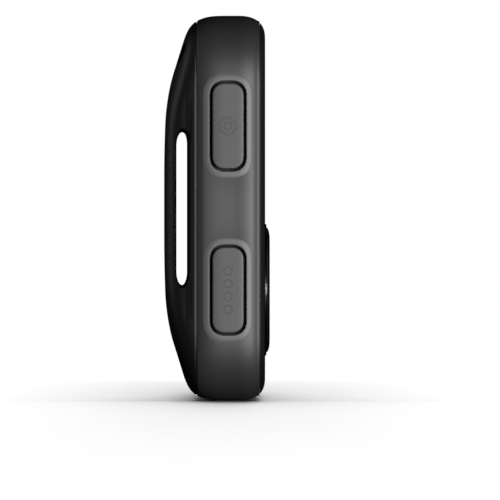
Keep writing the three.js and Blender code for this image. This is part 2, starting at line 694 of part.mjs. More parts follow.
function navRocker() {
  // The pad's top dips towards the middle, crests, and rounds over to its edge.
  const crest = padRadius - PAD_EDGE;
  const edge = Array.from({ length: 5 }, (_, i) => {
    const turn = ((i + 1) / 5) * (Math.PI / 2);
    return [crest + PAD_EDGE * Math.sin(turn), padTopY + 0.62 * (1 - Math.cos(turn))];
  });
  const bore = SELECT_RADIUS + SELECT_GAP;
  const skinY = padTopY + PAD_DISH + PAD_SKIN;
  const profile = [
    [bore, padTopY + PAD_DISH],
    [(bore + crest) / 2, padTopY + PAD_DISH * 0.35],
    [crest, padTopY],
    ...edge,
    [padRadius, flangeFrontY],
    [padRadius + FLANGE_REACH, flangeFrontY],
    [padRadius + FLANGE_REACH, flangeBackY],
    [padRadius - PAD_SKIN, flangeBackY],
    [padRadius - PAD_SKIN, skinY],
    [bore + PAD_SKIN, skinY],
    [bore + PAD_SKIN, flangeBackY],
    [pivotRadius + SLIDE, flangeBackY],
    [pivotRadius + SLIDE, shelfY],
    [bore, shelfY],
  ];
  let rocker = turned(profile);
  for (const [x, z] of navDirections) {
    rocker = rocker.add(pillar(NUB_RADIUS, skinY - 0.2, flangeBackY, x * NUB_CIRCLE, padZ + z * NUB_CIRCLE, TINY_ROUND));
  }
  return rocker;
}

const navDirections = [[1, 0], [0, 1], [-1, 0], [0, -1]];

function navigation() {
  const trimInner = TRIM_RADIUS - TRIM_WIDTH;
  const trimTop = frontFaceY - TRIM_PROUD;
  add(
    "nav_trim_ring",
    turned([
      [trimInner, trimTop + 0.08],
      [trimInner + 0.08, trimTop],
      [TRIM_RADIUS - 0.12, trimTop],
      [TRIM_RADIUS, trimTop + 0.12],
      [TRIM_RADIUS, frontFaceY + TRIM_SUNK],
      [trimInner, frontFaceY + TRIM_SUNK],
    ]),
    anodised,
  );
  add("nav_rocker", navRocker(), glossBlack);

  const pivotFrontY = shelfY + 0.1;
  const pivot = pillar(pivotRadius, pivotFrontY, flangeBackY, 0, padZ);
  const pivotBore = pillar(STEM_RADIUS + SELECT_GAP, pivotFrontY - 1, flangeBackY + 1, 0, padZ);
  add("nav_pivot_collar", pivot.subtract(pivotBore), blackPlastic);

  const selectY = padTopY + SELECT_SUNK;
  add(
    "select_button",
    turned(
      [
        [0, selectY + 0.12],
        [SELECT_RADIUS - 1.2, selectY],
        [SELECT_RADIUS - 0.35, selectY + 0.04],
        [SELECT_RADIUS, selectY + 0.3],
        [SELECT_RADIUS, selectY + SELECT_THICKNESS],
        [STEM_RADIUS, selectY + SELECT_THICKNESS],
        [STEM_RADIUS, flangeBackY],
        [0, flangeBackY],
      ],
      32,
    ),
    glossBlack,
  );

  const matSize = NAV_BOARD_SIZE - 3.4;
  const at = { v: padZ };
  let mat = prism(rounded(matSize, matSize, 6), keymatFrontY, keymatFrontY + KEYMAT_THICKNESS, at);
  mat = mat.add(pillar(STEM_RADIUS, flangeBackY, keymatFrontY + 0.1, 0, padZ, TINY_ROUND));
  let film = prism(rounded(matSize, matSize, 6), domeFrontY + DOME_HEIGHT, navBoardY, at);
  film = film.add(pillar(DOME_RADIUS, domeFrontY, navBoardY, 0, padZ));
  for (const [x, z] of navDirections) {
    const place = [x * NUB_CIRCLE, padZ + z * NUB_CIRCLE];
    mat = mat.add(pillar(NUB_RADIUS + 0.2, flangeBackY, keymatFrontY + 0.1, ...place, TINY_ROUND));
    film = film.add(pillar(DOME_RADIUS, domeFrontY, navBoardY, ...place));
  }
  add("nav_keymat", mat, siliconeBlack);
  add("dome_sheet", film, amberFilm);

  const navBoardBackY = navBoardY + NAV_BOARD_THICKNESS;
  let board = prism(rounded(NAV_BOARD_SIZE, NAV_BOARD_SIZE, 2.5), navBoardY, navBoardBackY, at);
  for (const { side, x, z } of navPosts) {
    board = board.subtract(pillar(NAV_SCREW_RADIUS + SLIDE, navBoardY - 1, navBoardBackY + 1, x, z, TINY_ROUND));
    const shank = pillar(NAV_SCREW_RADIUS, innerY + 1, navBoardBackY + 0.1, x, z, TINY_ROUND);
    const head = pillar(NAV_SCREW_RADIUS * 2, navBoardBackY, navBoardBackY + 0.6, x, z, TINY_ROUND);
    add("nav_board_screw_" + side, shank.add(head), steel);
  }
  add("nav_board", board, boardGreen);
  const gap = boardFrontY - navBoardBackY;
  add(
    "nav_board_connector",
    blockBefore({ width: 9, height: 3, depth: gap }, 0, boardFrontY, padZ - 7),
    blackPlastic,
  );
}

// ---------------------------------------------------------------- side buttons

const membraneInnerX = insideX + 0.05;
const membraneOuterX = membraneInnerX + MEMBRANE;
const switchX = insideX - SWITCH_FROM_WALL;

// A prism along X on one side of the case, between two distances from the middle plane.
const sidePrism = (points, side, from, to, z) =>
  prism(points, side * from, side * to, { u: buttonY, v: z, axis: "x" });

function sideButton(name, side, z) {
  const keep = band(BUTTON_PROUD);
  const cap = sidePrism(wellOutline(-MOAT), side, membraneOuterX, sideX + 1, z).intersect(keep);
  add(name + "_button", cap, buttonGrey);

  const lip = sidePrism(wellOutline(COLLAR_WIDTH), side, sideX - COLLAR_DEPTH, sideX + 1, z)
    .intersect(band(COLLAR_PROUD));
  const sleeve = sidePrism(wellOutline(SLEEVE_WALL), side, membraneInnerX, sideX - COLLAR_DEPTH + 0.1, z);
  const well = sidePrism(wellOutline(0), side, membraneOuterX, sideX + 2, z);
  const plungerEndX = switchX + PLUNGER_REACH;
  const nub = sidePrism(rounded(1.6, 2.6, 0.5, 2), side, plungerEndX, membraneInnerX + 0.1, z);
  add(name + "_button_boot", lip.add(sleeve).subtract(well).add(nub), siliconeGrey);

  const housing = box(
    Math.min(side * switchX, side * (switchX - SWITCH_DEPTH)),
    Math.max(side * switchX, side * (switchX - SWITCH_DEPTH)),
    boardFrontY - SWITCH_HEIGHT,
    boardFrontY,
    z - SWITCH_LENGTH / 2,
    z + SWITCH_LENGTH / 2,
  );
  const plunger = (grown, inner) =>
    sidePrism(
      rounded(PLUNGER_WIDTH + 2 * grown, PLUNGER_LENGTH + 2 * grown, 0.2 + grown, 2),
      side,
      inner,
      plungerEndX,
      z,
    );
  const innerEnd = switchX - PLUNGER_REACH;
  add(name + "_switch", housing.subtract(plunger(SLIDE, innerEnd - BUTTON_TRAVEL - SLIDE)), blackPlastic);
  add(name + "_switch_plunger", plunger(0, innerEnd), whitePlastic);
}

// ---------------------------------------------------------------- charging port

function port() {
  const halfTab = HINGE_TAB_WIDTH / 2;
  const tab = box(
    doorInnerX,
    sideX + 1,
    buttonY - halfTab,
    buttonY + halfTab,
    hingeZ,
    doorBottomZ + WELL_CORNER,
  );
  const leaf = prism(doorOutline(0), doorInnerX, sideX + 1, { u: buttonY, v: doorZ, axis: "x" });
  const knuckle = pillar(HINGE_RADIUS, buttonY - halfTab, buttonY + halfTab, hingeX, hingeZ);
  const bore = pillar(HINGE_PIN_RADIUS + SLIDE, buttonY - 9, buttonY + 9, hingeX, hingeZ, TINY_ROUND);
  const keep = box(0, hingeX + HINGE_RADIUS, -depth, depth, hingeZ, HEIGHT);
  const door = leaf.add(tab).intersect(band(0)).intersect(keep).add(knuckle).subtract(bore);
  add("port_door", door, buttonGrey);
  const plug = rounded(PORT_OPENING_WIDTH - 2 * DOOR_GAP, PORT_OPENING_LENGTH - 2 * DOOR_GAP, 1);
  add("port_door_seal", sidePrism(plug, 1, doorInnerX - 0.6, doorInnerX, lowerButtonZ), siliconeBlack);
  add("port_hinge_pin", hingePin(0), steel);

  const mouthX = insideX - 0.3;
  const socket = box(
    mouthX - SOCKET_DEPTH,
    mouthX,
    boardFrontY - SOCKET_HEIGHT,
    boardFrontY,
    lowerButtonZ - SOCKET_WIDTH / 2,
    lowerButtonZ + SOCKET_WIDTH / 2,
  );
  const cavity = box(
    mouthX - SOCKET_DEPTH + 1,
    mouthX + 1,
    boardFrontY - SOCKET_HEIGHT + SOCKET_WALL,
    boardFrontY - SOCKET_WALL,
    lowerButtonZ - SOCKET_WIDTH / 2 + SOCKET_WALL,
    lowerButtonZ + SOCKET_WIDTH / 2 - SOCKET_WALL,
  );
  const tongueY = boardFrontY - SOCKET_HEIGHT / 2;
  const tongue = box(
    mouthX - SOCKET_DEPTH + 0.5,
    mouthX - 0.8,
    tongueY - SOCKET_TONGUE / 2,
    tongueY + SOCKET_TONGUE / 2,
    lowerButtonZ - SOCKET_WIDTH / 2 + 2 * SOCKET_WALL,
    lowerButtonZ + SOCKET_WIDTH / 2 - 2 * SOCKET_WALL,
  );
  add("usb_socket", socket.subtract(cavity).add(tongue), steel);
}

// ---------------------------------------------------------------- main board and battery

function electronics() {
  let board = casePlate(WALL + BOARD_MARGIN, boardFrontY, boardBackY);
  for (const { x, z } of screwPlaces) {
    board = board.subtract(pillar(BOSS_RADIUS + 0.3, boardFrontY - 1, boardBackY + 1, x, z));
    board = board.subtract(
      box(
        Math.min(x, x * 2),
        Math.max(x, x * 2),
        boardFrontY - 1,
        boardBackY + 1,
        z < middleZ ? -1 : z - BOSS_RADIUS - 0.3,
        z < middleZ ? z + BOSS_RADIUS + 0.3 : HEIGHT + 1,
      ),
    );
  }
  add("main_board", board, boardGreen);

  const shieldZ = lensZ + 2.5;
  const shieldX = -WIDTH / 9;
  const inner = {
    width: SHIELD.width - 2 * SHIELD.wall,
    height: SHIELD.height - 2 * SHIELD.wall,
    depth: SHIELD.depth - SHIELD.wall + 1,
  };
  const can = blockBefore(SHIELD, shieldX, boardFrontY, shieldZ);
  add("shield_can", can.subtract(blockBefore(inner, shieldX, boardFrontY + 1, shieldZ)), foil);
  add("radio_module", blockBefore(RADIO, shieldX + SHIELD.width / 2 + RADIO.width / 2 + 1, boardFrontY, shieldZ), foil);
  const topZ = HEIGHT - WALL - BOARD_MARGIN;
  const bottomZ = WALL + BOARD_MARGIN;
  add("gps_antenna", blockBefore(GPS_ANTENNA, 0, boardFrontY, topZ - GPS_ANTENNA.height / 2 - 0.4), ceramic);
  add("radio_antenna", blockBefore(RADIO_ANTENNA, 0, boardFrontY, bottomZ + RADIO_ANTENNA.height / 2 + 0.3), ceramic);

  const at = { v: batteryZ };
  const cell = rounded(BATTERY_WIDTH, BATTERY_HEIGHT, BATTERY_EDGE, 3);
  const pad = rounded(BATTERY_WIDTH - 4, BATTERY_HEIGHT - 4, 1, 2);
  const batteryBackY = backSeamY - BATTERY_GAP;
  const body = loft([
    { at: batteryFrontY, points: rounded(BATTERY_WIDTH - 1, BATTERY_HEIGHT - 1, BATTERY_EDGE, 3), ...at },
    { at: batteryFrontY + 0.5, points: cell, ...at },
    { at: batteryBackY - 0.5, points: cell, ...at },
    { at: batteryBackY, points: rounded(BATTERY_WIDTH - 1, BATTERY_HEIGHT - 1, BATTERY_EDGE, 3), ...at },
  ]);
  add("battery", body, foil);
  add("battery_pad", prism(pad, boardBackY, batteryFrontY, at), siliconeBlack);
  const cellTopZ = batteryZ + BATTERY_HEIGHT / 2;
  const guardZ = cellTopZ + GUARD_BOARD.height / 2 + 0.1;
  add("battery_guard_board", blockBehind(GUARD_BOARD, 0, batteryFrontY + 0.6, guardZ), boardGreen);

  const guardTopZ = guardZ + GUARD_BOARD.height / 2;
  const plugZ = guardTopZ + 4 + PLUG.height / 2;
  const plugX = 1.4;
  add("battery_plug", blockBehind(PLUG, plugX, boardBackY, plugZ), whitePlastic);
  const leadY = boardBackY + PLUG.depth / 2;
  for (const [name, offset, material] of [["red", 0.8, redWire], ["black", -0.8, blackPlastic]]) {
    const from = new THREE.Vector3(offset - plugX / 2, leadY, guardTopZ + 0.3);
    const to = new THREE.Vector3(plugX + offset, leadY, plugZ - PLUG.height / 2 - 0.3);
    const route = new THREE.CubicBezierCurve3(
      from,
      from.clone().add(new THREE.Vector3(0, 0, 2)),
      to.clone().add(new THREE.Vector3(0, 0, -2)),
      to,
    );
    const section = new THREE.Shape();
    section.absarc(0, 0, LEAD_RADIUS, 0, 2 * Math.PI, false);
    const wire = new THREE.ExtrudeGeometry(section, { steps: 8, extrudePath: route, curveSegments: 4 });
    add("battery_lead_" + name, solid(wire), material);
  }
  const buzzerZ = bottomZ + BUZZER_RADIUS + 1;
  add(
    "buzzer",
    pillar(BUZZER_RADIUS, boardBackY, boardBackY + BUZZER_THICKNESS, 0, buzzerZ, SMALL_ROUND),
    blackPlastic,
  );
}

// ---------------------------------------------------------------- the device

shells();
display();
navigation();
sideButton("settings", -1, upperButtonZ);
sideButton("mode", -1, lowerButtonZ);
sideButton("power", 1, upperButtonZ);
port();
electronics();

export default device;
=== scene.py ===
# %% [markdown]
# # A cycling computer, standing on its lower end
#
# The real object is a sealed plastic case about 70 mm tall: a grey side band between a black front rim and
# a black back housing. A strap threads through the hump of the back housing. The band carries three buttons
# and a charging port, and the front carries a display over a round navigation pad.
#
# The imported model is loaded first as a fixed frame. Everything below is built over it in the same place, so
# no piece has to be fitted by eye. The shapes are worked out in millimetres, because that is how a maker
# thinks of them, and one function at the end of each shape turns them to metres.

# %% Load the frame
import json
import math

import bmesh
import bpy
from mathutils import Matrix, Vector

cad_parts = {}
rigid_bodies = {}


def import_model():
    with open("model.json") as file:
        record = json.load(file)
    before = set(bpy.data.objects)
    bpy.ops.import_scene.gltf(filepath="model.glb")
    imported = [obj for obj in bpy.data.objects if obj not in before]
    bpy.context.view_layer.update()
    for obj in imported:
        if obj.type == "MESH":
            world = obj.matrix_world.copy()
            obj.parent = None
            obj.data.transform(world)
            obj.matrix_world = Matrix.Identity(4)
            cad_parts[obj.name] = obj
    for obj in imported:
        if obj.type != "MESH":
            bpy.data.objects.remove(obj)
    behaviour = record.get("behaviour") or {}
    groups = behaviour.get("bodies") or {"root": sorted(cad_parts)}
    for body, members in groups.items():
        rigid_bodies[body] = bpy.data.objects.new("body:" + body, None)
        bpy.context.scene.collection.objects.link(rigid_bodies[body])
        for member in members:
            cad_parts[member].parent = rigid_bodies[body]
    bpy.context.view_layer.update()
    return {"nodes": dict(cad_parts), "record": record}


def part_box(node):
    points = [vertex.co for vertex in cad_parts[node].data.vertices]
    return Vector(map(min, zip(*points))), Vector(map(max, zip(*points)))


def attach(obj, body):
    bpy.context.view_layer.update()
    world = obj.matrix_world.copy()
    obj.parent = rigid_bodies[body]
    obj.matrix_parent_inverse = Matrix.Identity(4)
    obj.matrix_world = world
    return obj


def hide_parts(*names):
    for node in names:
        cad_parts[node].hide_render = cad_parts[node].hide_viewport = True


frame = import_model()
MM = 0.001


def corner_mm(corner):
    """A corner of a box, in millimetres."""
    return [value / MM for value in corner]


def box_mm(node):
    """The lowest and highest corners of a CAD node, in millimetres."""
    low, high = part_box(node)
    return corner_mm(low), corner_mm(high)


# %% [markdown]
# ## The main sizes
#
# The seams, faces and openings are read from the boxes of the CAD nodes. If the CAD changes, the looks
# follow. -Y is the front of the device, +Z runs up the long way and X is its width.

# %% Sizes read from the frame
band_low, band_high = box_mm("mid_frame")
HALF_WIDTH = band_high[0]
HALF_HEIGHT = band_high[2] / 2
FRONT_SEAM = band_low[1]
BACK_SEAM = band_high[1]
BAND_DEPTH = BACK_SEAM - FRONT_SEAM
FRONT_FACE = box_mm("front_shell")[0][1]
BACK_FACE = box_mm("back_shell")[1][1]
HUMP_DEPTH = BACK_FACE - BACK_SEAM
BUTTON_Y = (FRONT_SEAM + BACK_SEAM) / 2
print("band from", round(FRONT_SEAM, 2), "to", round(BACK_SEAM, 2), "and", round(2 * HALF_WIDTH, 2), "wide")

# %% [markdown]
# ## The camera
#
# The view is level and straight at the left side, with the front to the right. A very long lens is used
# from far away, as for a catalogue picture, so that near and far edges line up and the strap tunnel can be
# seen through from end to end.

# %% Camera
CAMERA_DISTANCE = 3000
PICTURE_WIDTH = 91.2  # how much of the scene the picture spans, at the device
SENSOR_WIDTH = 36
AIM_Y = -6.0
AIM_Z = 27.41

camera_data = bpy.data.cameras.new("camera")
camera_data.sensor_width = SENSOR_WIDTH
camera_data.lens = SENSOR_WIDTH * CAMERA_DISTANCE / PICTURE_WIDTH
camera = bpy.data.objects.new("camera", camera_data)
camera.location = (-CAMERA_DISTANCE * MM, AIM_Y * MM, AIM_Z * MM)
camera.rotation_euler = (math.radians(90), 0, math.radians(-90))
bpy.context.scene.collection.objects.link(camera)
bpy.context.scene.camera = camera
bpy.context.scene.view_settings.view_transform = "Standard"
print("lens:", round(camera_data.lens), "mm")

# %% [markdown]
# ## Finishes
#
# Colours are written as they look on a screen, in sRGB, and turned to linear light by one function. Each
# finish is a small node tree round one Principled shader. One function adds a node, sets it and links its
# inputs.


# %% Helpers for finishes
def linear(colour):
    """An sRGB hex colour as linear RGBA."""
    channels = [int(colour[i : i + 2], 16) / 255 for i in (1, 3, 5)]
    return [c / 12.92 if c <= 0.04045 else ((c + 0.055) / 1.055) ** 2.4 for c in channels] + [1]


def add_node(finish, kind, inputs=None, **settings):
    """A node of a finish. Each input is a value, or the output that feeds it."""
    node = finish.node_tree.nodes.new(kind)
    for name, value in settings.items():
        setattr(node, name, value)
    for name, value in (inputs or {}).items():
        if isinstance(value, bpy.types.NodeSocket):
            finish.node_tree.links.new(value, node.inputs[name])
        else:
            node.inputs[name].default_value = value
    return node


def new_finish(name):
    """An empty finish, and the place on the piece that its patterns are drawn over."""
    finish = bpy.data.materials.new(name)
    finish.use_nodes = True
    finish.node_tree.nodes.clear()
    return finish, add_node(finish, "ShaderNodeTexCoord").outputs["Object"]


def close_finish(finish, inputs):
    """Ends a finish with its shader and its output."""
    shader = add_node(finish, "ShaderNodeBsdfPrincipled", inputs)
    add_node(finish, "ShaderNodeOutputMaterial", {"Surface": shader.outputs["BSDF"]})
    return finish


def follow(finish, pattern, roughness, scatter, height):
    """Roughness and normal inputs that follow a pattern. height is the relief in millimetres."""
    rough = {"Value": pattern.outputs["Fac"], "To Min": roughness - scatter, "To Max": roughness + scatter}
    relief = {"Height": pattern.outputs["Fac"], "Distance": height * MM, "Strength": 1.0}
    return {
        "Roughness": add_node(finish, "ShaderNodeMapRange", rough).outputs["Result"],
        "Normal": add_node(finish, "ShaderNodeBump", relief).outputs["Normal"],
    }


# %% [markdown]
# Moulded plastic is not quite even. The tool is spark-eroded, which leaves a fine grain of about 0.1 mm
# that spreads the highlight, and the colour drifts a little where the melt flowed. One function makes that
# for any grey or black, with its own grain, drift and gloss. The grain is drawn at 0.25 mm, since the real
# one would be lost at this size.


# %% Moulded finishes
# A Mix node keeps several sockets under one name, so its colour sockets are called by number.
MIX_A = 6
MIX_B = 7
MIX_COLOUR = 2


def moulded(name, colour, colour_drift, roughness, grain=0.25, grain_height=0.004, **gloss):
    """Moulded plastic or silicone. grain and grain_height are in millimetres."""
    finish, place = new_finish(name)
    drift = add_node(finish, "ShaderNodeTexNoise", {"Vector": place, "Scale": 1 / (14 * MM), "Detail": 3.0})
    colours = {"Factor": drift.outputs["Fac"], MIX_A: linear(colour), MIX_B: linear(colour_drift)}
    shade = add_node(finish, "ShaderNodeMix", colours, data_type="RGBA")
    speckle_size = {"Vector": place, "Scale": 1 / (grain * MM), "Detail": 2.0}
    speckle = add_node(finish, "ShaderNodeTexNoise", speckle_size)
    surface = follow(finish, speckle, roughness, 0.03, grain_height)
    return close_finish(finish, {"Base Color": shade.outputs[MIX_COLOUR], **surface, **gloss})


band_plastic = moulded("soft_touch_band", "#242425", "#282829", 0.51)
cap_plastic = moulded("satin_button_cap", "#303031", "#343435", 0.5, grain=0.2)
LOW_GLOSS = {"Specular IOR Level": 0.3}
shell_plastic = moulded("satin_black_shell", "#0b0b0c", "#0f0f10", 0.46, grain=0.3, **LOW_GLOSS)
pad_plastic = moulded("gloss_black_pad", "#0b0b0c", "#0f0f10", 0.12, grain=0.6, grain_height=0.001)
boot_silicone = moulded("grey_silicone_boot", "#48484a", "#4c4c4d", 0.5, grain=0.15)
black_silicone = moulded("black_silicone", "#141414", "#1a1a1a", 0.7, grain=0.2)
black_plastic = moulded("inner_black_plastic", "#191919", "#202020", 0.5)
white_plastic = moulded("inner_white_plastic", "#dcdcd6", "#e6e6e2", 0.45)
mark_ink = moulded("pad_printed_mark", "#242425", "#2a2a2b", 0.6, grain=0.1, grain_height=0.001)
print(len(bpy.data.materials), "finishes so far")

# %% [markdown]
# ## Shaping tools
#
# Nearly every piece is a stack of outlines: a rounded rectangle whose corners are superellipse quarters,
# drawn in a little more at each level. Superellipse corners turn softly into the sides, as on most handheld
# devices. The outlines of a stack all have the same number of points, so neighbouring levels join with
# clean rings of four-sided faces, which shade smoothly.


# %% Outlines
def superellipse_outline(half_u, half_v, corner, power=2.0, inset=0.0, steps=24, corner_v=None):
    """A rounded rectangle, drawn in along its normals by inset, as a list of (u, v)."""
    corner_v = corner_v or corner
    points = []
    for quarter, (sign_u, sign_v) in enumerate([(1, 1), (-1, 1), (-1, -1), (1, -1)]):
        for step in range(steps + 1):
            turn = (steps - step if quarter % 2 else step) / steps * math.pi / 2
            along = max(0.0, math.cos(turn))
            across = max(0.0, math.sin(turn))
            normal_u = along ** (2 - 2 / power) / corner
            normal_v = across ** (2 - 2 / power) / corner_v
            length = math.hypot(normal_u, normal_v)
            u = half_u - corner + corner * along ** (2 / power) - inset * normal_u / length
            v = half_v - corner_v + corner_v * across ** (2 / power) - inset * normal_v / length
            points.append((sign_u * u, sign_v * v))
    return points


CASE_CORNER = 14
CASE_POWER = 2.65


def case_outline(inset, steps=40):
    """The case seen from the front, with its middle at the middle of the height."""
    return superellipse_outline(HALF_WIDTH, HALF_HEIGHT, CASE_CORNER, CASE_POWER, inset, steps)


print(len(case_outline(0)), "points round the case")

# %% [markdown]
# A stack becomes a mesh in bmesh: one ring of vertices for each level, quads between them, and a flat face
# at each end. Edges that turn by more than 35 degrees stay sharp and everything else is shaded smooth.


# %% Meshes from stacks of outlines
def make_piece(name, shape, sharp_angle=35):
    """An object from a bmesh in millimetres, which it frees."""
    bmesh.ops.scale(shape, vec=(MM, MM, MM), verts=shape.verts)
    bmesh.ops.recalc_face_normals(shape, faces=shape.faces)
    mesh = bpy.data.meshes.new(name)
    shape.to_mesh(mesh)
    shape.free()
    piece = bpy.data.objects.new(name, mesh)
    bpy.context.scene.collection.objects.link(piece)
    shade(piece, sharp_angle)
    return piece


def shade(piece, sharp_angle=35):
    """Smooth shading, apart from edges that turn by more than sharp_angle degrees."""
    shape = bmesh.new()
    shape.from_mesh(piece.data)
    for face in shape.faces:
        face.smooth = True
    for edge in shape.edges:
        edge.smooth = edge.calc_face_angle(0) < math.radians(sharp_angle)
    shape.to_mesh(piece.data)
    shape.free()


def add_stack(shape, levels, closed=False):
    """Adds rings of points to a bmesh, joined by faces. A closed stack ends where it starts."""
    rings = [[shape.verts.new(point) for point in level] for level in levels]
    pairs = list(zip(rings, rings[1:]))
    if closed:
        pairs.append((rings[-1], rings[0]))
    else:
        shape.faces.new(rings[0])
        shape.faces.new(rings[-1])
    count = len(rings[0])
    for low, high in pairs:
        for i in range(count):
            j = (i + 1) % count
            shape.faces.new((low[i], low[j], high[j], high[i]))


def stack(name, levels, sharp_angle=35):
    """A closed piece through levels, each a ring of points (x, y, z) in millimetres."""
    shape = bmesh.new()
    add_stack(shape, levels)
    return make_piece(name, shape, sharp_angle)


def circle(radius, count=96):
    return [
        (radius * math.cos(2 * math.pi * i / count), radius * math.sin(2 * math.pi * i / count))
        for i in range(count)
    ]


def front_ring(y, points, z=0.0, x=0.0):
    """An outline of (x, z) at one depth."""
    return [(x + u, y, z + v) for u, v in points]


def side_ring(x, points, y=0.0, z=0.0):
    """An outline of (y, z) at one distance to the side."""
    return [(x, y + u, z + v) for u, v in points]


# %% [markdown]
# Openings are cut with the Boolean modifier and sharp rims are broken with the Bevel modifier, as a mould
# maker would. Both are applied at once, so that each piece is a plain mesh when it joins the frame.


# %% Cutting and bevelling
def apply_modifiers(piece):
    scene_state = bpy.context.evaluated_depsgraph_get()
    mesh = bpy.data.meshes.new_from_object(piece.evaluated_get(scene_state))
    piece.modifiers.clear()
    old = piece.data
    piece.data = mesh
    bpy.data.meshes.remove(old)


def cut(piece, *cutters, operation="DIFFERENCE"):
    """Takes the cutters out of a piece, or joins them to it, and removes them."""
    for cutter in cutters:
        boolean = piece.modifiers.new("cut", "BOOLEAN")
        boolean.operation = operation
        boolean.object = cutter
        boolean.solver = "EXACT"
        apply_modifiers(piece)
        bpy.data.objects.remove(cutter)
    shade(piece)


def bevel(piece, width, angle=35, segments=3):
    """Rounds every edge that turns by more than angle degrees."""
    rounding = piece.modifiers.new("round", "BEVEL")
    rounding.width = width * MM
    rounding.segments = segments
    rounding.limit_method = "ANGLE"
    rounding.angle_limit = math.radians(angle)
    apply_modifiers(piece)
    shade(piece, 50)


def finish_piece(piece, finish, body, slot_name, *nodes):
    """Gives a piece its finish and its body, and hides the CAD nodes that it stands for."""
    piece.data.materials.clear()
    piece.data.materials.append(finish)
    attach(piece, body)
    if nodes:
        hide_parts(*nodes)
    print(piece.name, len(piece.data.polygons), "faces")


# %% [markdown]
# ## The side band
#
# The band is the grey frame between the two black shells. Seen from the side it is flat for a few
# millimetres and then draws in: slowly towards the back seam, and in a long quarter of a superellipse
# towards the front. Its back edge is chamfered. Its front edge ends in a fine bead, which catches the light
# beside the seam.

# %% The crown of the case
CROWN_FRONT = -3.7  # the crown is widest between these two depths
CROWN_BACK = -2.0
FRONT_TUCK = 4.3
FRONT_POWER = 2.53
BACK_TUCK = 0.95
BACK_POWER = 3.3
SEAM_CHAMFER = 0.38
BEAD_WIDTH = 0.4  # a fine bead along the band's front edge
BEAD_STEPS = ((0.0, 0.25), (0.06, 0.1))  # how far behind the seam, and how far drawn in


def drawn_in(share, amount, power):
    """How far a superellipse has drawn in by this share of its length."""
    return amount * (1 - (1 - min(1, max(0, share)) ** power) ** (1 / power))


def tuck(y):
    """How far the sides are drawn in at this depth."""
    if y < CROWN_FRONT:
        return drawn_in((CROWN_FRONT - y) / (CROWN_FRONT - FRONT_FACE), FRONT_TUCK, FRONT_POWER)
    return BACK_TUCK * (max(0, y - CROWN_BACK) / (BACK_SEAM - CROWN_BACK)) ** BACK_POWER


def spread(start, end, count):
    """Evenly spaced numbers from start to end."""
    return [start + (end - start) * i / (count - 1) for i in range(count)]


def side_surface(y, z):
    """Half the case's width at a depth and a height."""
    share = (abs(z - HALF_HEIGHT) - (HALF_HEIGHT - CASE_CORNER)) / CASE_CORNER
    return HALF_WIDTH - drawn_in(share, CASE_CORNER, CASE_POWER) - tuck(y)


for depth in spread(FRONT_FACE, BACK_SEAM, 6):
    print("depth", round(depth, 2), "drawn in", round(tuck(depth), 2))

# %% Band outside and wall
BAND_WALL = 2.6

bead_inset = tuck(FRONT_SEAM + BEAD_WIDTH)
band_levels = [(FRONT_SEAM + behind, bead_inset + drawn) for behind, drawn in BEAD_STEPS]
band_levels += [(y, tuck(y)) for y in spread(FRONT_SEAM + BEAD_WIDTH, BACK_SEAM - SEAM_CHAMFER / 2, 48)]
band_levels += [(BACK_SEAM, tuck(BACK_SEAM) + SEAM_CHAMFER / 2)]
side_band = stack("side_band", [front_ring(y, case_outline(inset), HALF_HEIGHT) for y, inset in band_levels])
band_hollow = stack(
    "band_hollow",
    [front_ring(y, case_outline(BAND_WALL), HALF_HEIGHT) for y in (FRONT_SEAM - 1, BACK_SEAM + 1)],
)
cut(side_band, band_hollow)

# %% [markdown]
# Three buttons sit in rounded openings in the band, and the charging port's door in a fourth. Each button
# opening has two steps: a shallow seat for the lip of the silicone boot, and a hole for its sleeve. The
# sizes repeat those of the CAD, whose boxes give the places.


# %% Openings in the band
boot_low, boot_high = box_mm("settings_button_boot")
LIP_WIDTH = 1.08
LIP_DEPTH = 0.8
LIP_LAP = 0.12  # how far the lip laps over the band
WELL_LENGTH = boot_high[2] - boot_low[2] - 2 * LIP_WIDTH
WELL_WIDTH = 0.6 * BAND_DEPTH
WELL_CORNER = 3
WELL_POWER = 2.4
SLEEVE_WALL = 0.4
SLEEVE_REACH = 4  # how far in the sleeve's hole goes
FIT = 0.05
MEMBRANE_X = HALF_WIDTH - 2  # how far out the boot's floor lies
OUTSIDE = HALF_WIDTH + 1  # where a cutter ends, clear of the band


def well_outline(grown, steps=24):
    """The outline of a button's well, grown all round, as (y, z) about its middle."""
    half = (WELL_WIDTH / 2 + grown, WELL_LENGTH / 2 + grown)
    return superellipse_outline(*half, max(WELL_CORNER + grown, 0.25), WELL_POWER, steps=steps)


def side_prism(name, points, side, near, far, y, z):
    """A prism of an outline on one side of the case, between two distances from the middle."""
    return stack(name, [side_ring(side * near, points, y, z), side_ring(side * far, points, y, z)])


def middle_mm(node):
    """The middle of a CAD node's box, in millimetres."""
    low, high = box_mm(node)
    return [(a + b) / 2 for a, b in zip(low, high)]


BUTTONS = {
    "settings": (-1, middle_mm("settings_button")[2]),
    "mode": (-1, middle_mm("mode_button")[2]),
    "power": (1, middle_mm("power_button")[2]),
}
for name, (side, z) in BUTTONS.items():
    steps = [(LIP_WIDTH - LIP_LAP, LIP_DEPTH), (SLEEVE_WALL + FIT, SLEEVE_REACH)]
    for grown, depth in steps:
        points = well_outline(grown, steps=14)
        cut(side_band, side_prism("opening", points, side, HALF_WIDTH - depth, OUTSIDE, BUTTON_Y, z))
print("openings:", {name: round(z, 2) for name, (side, z) in BUTTONS.items()})

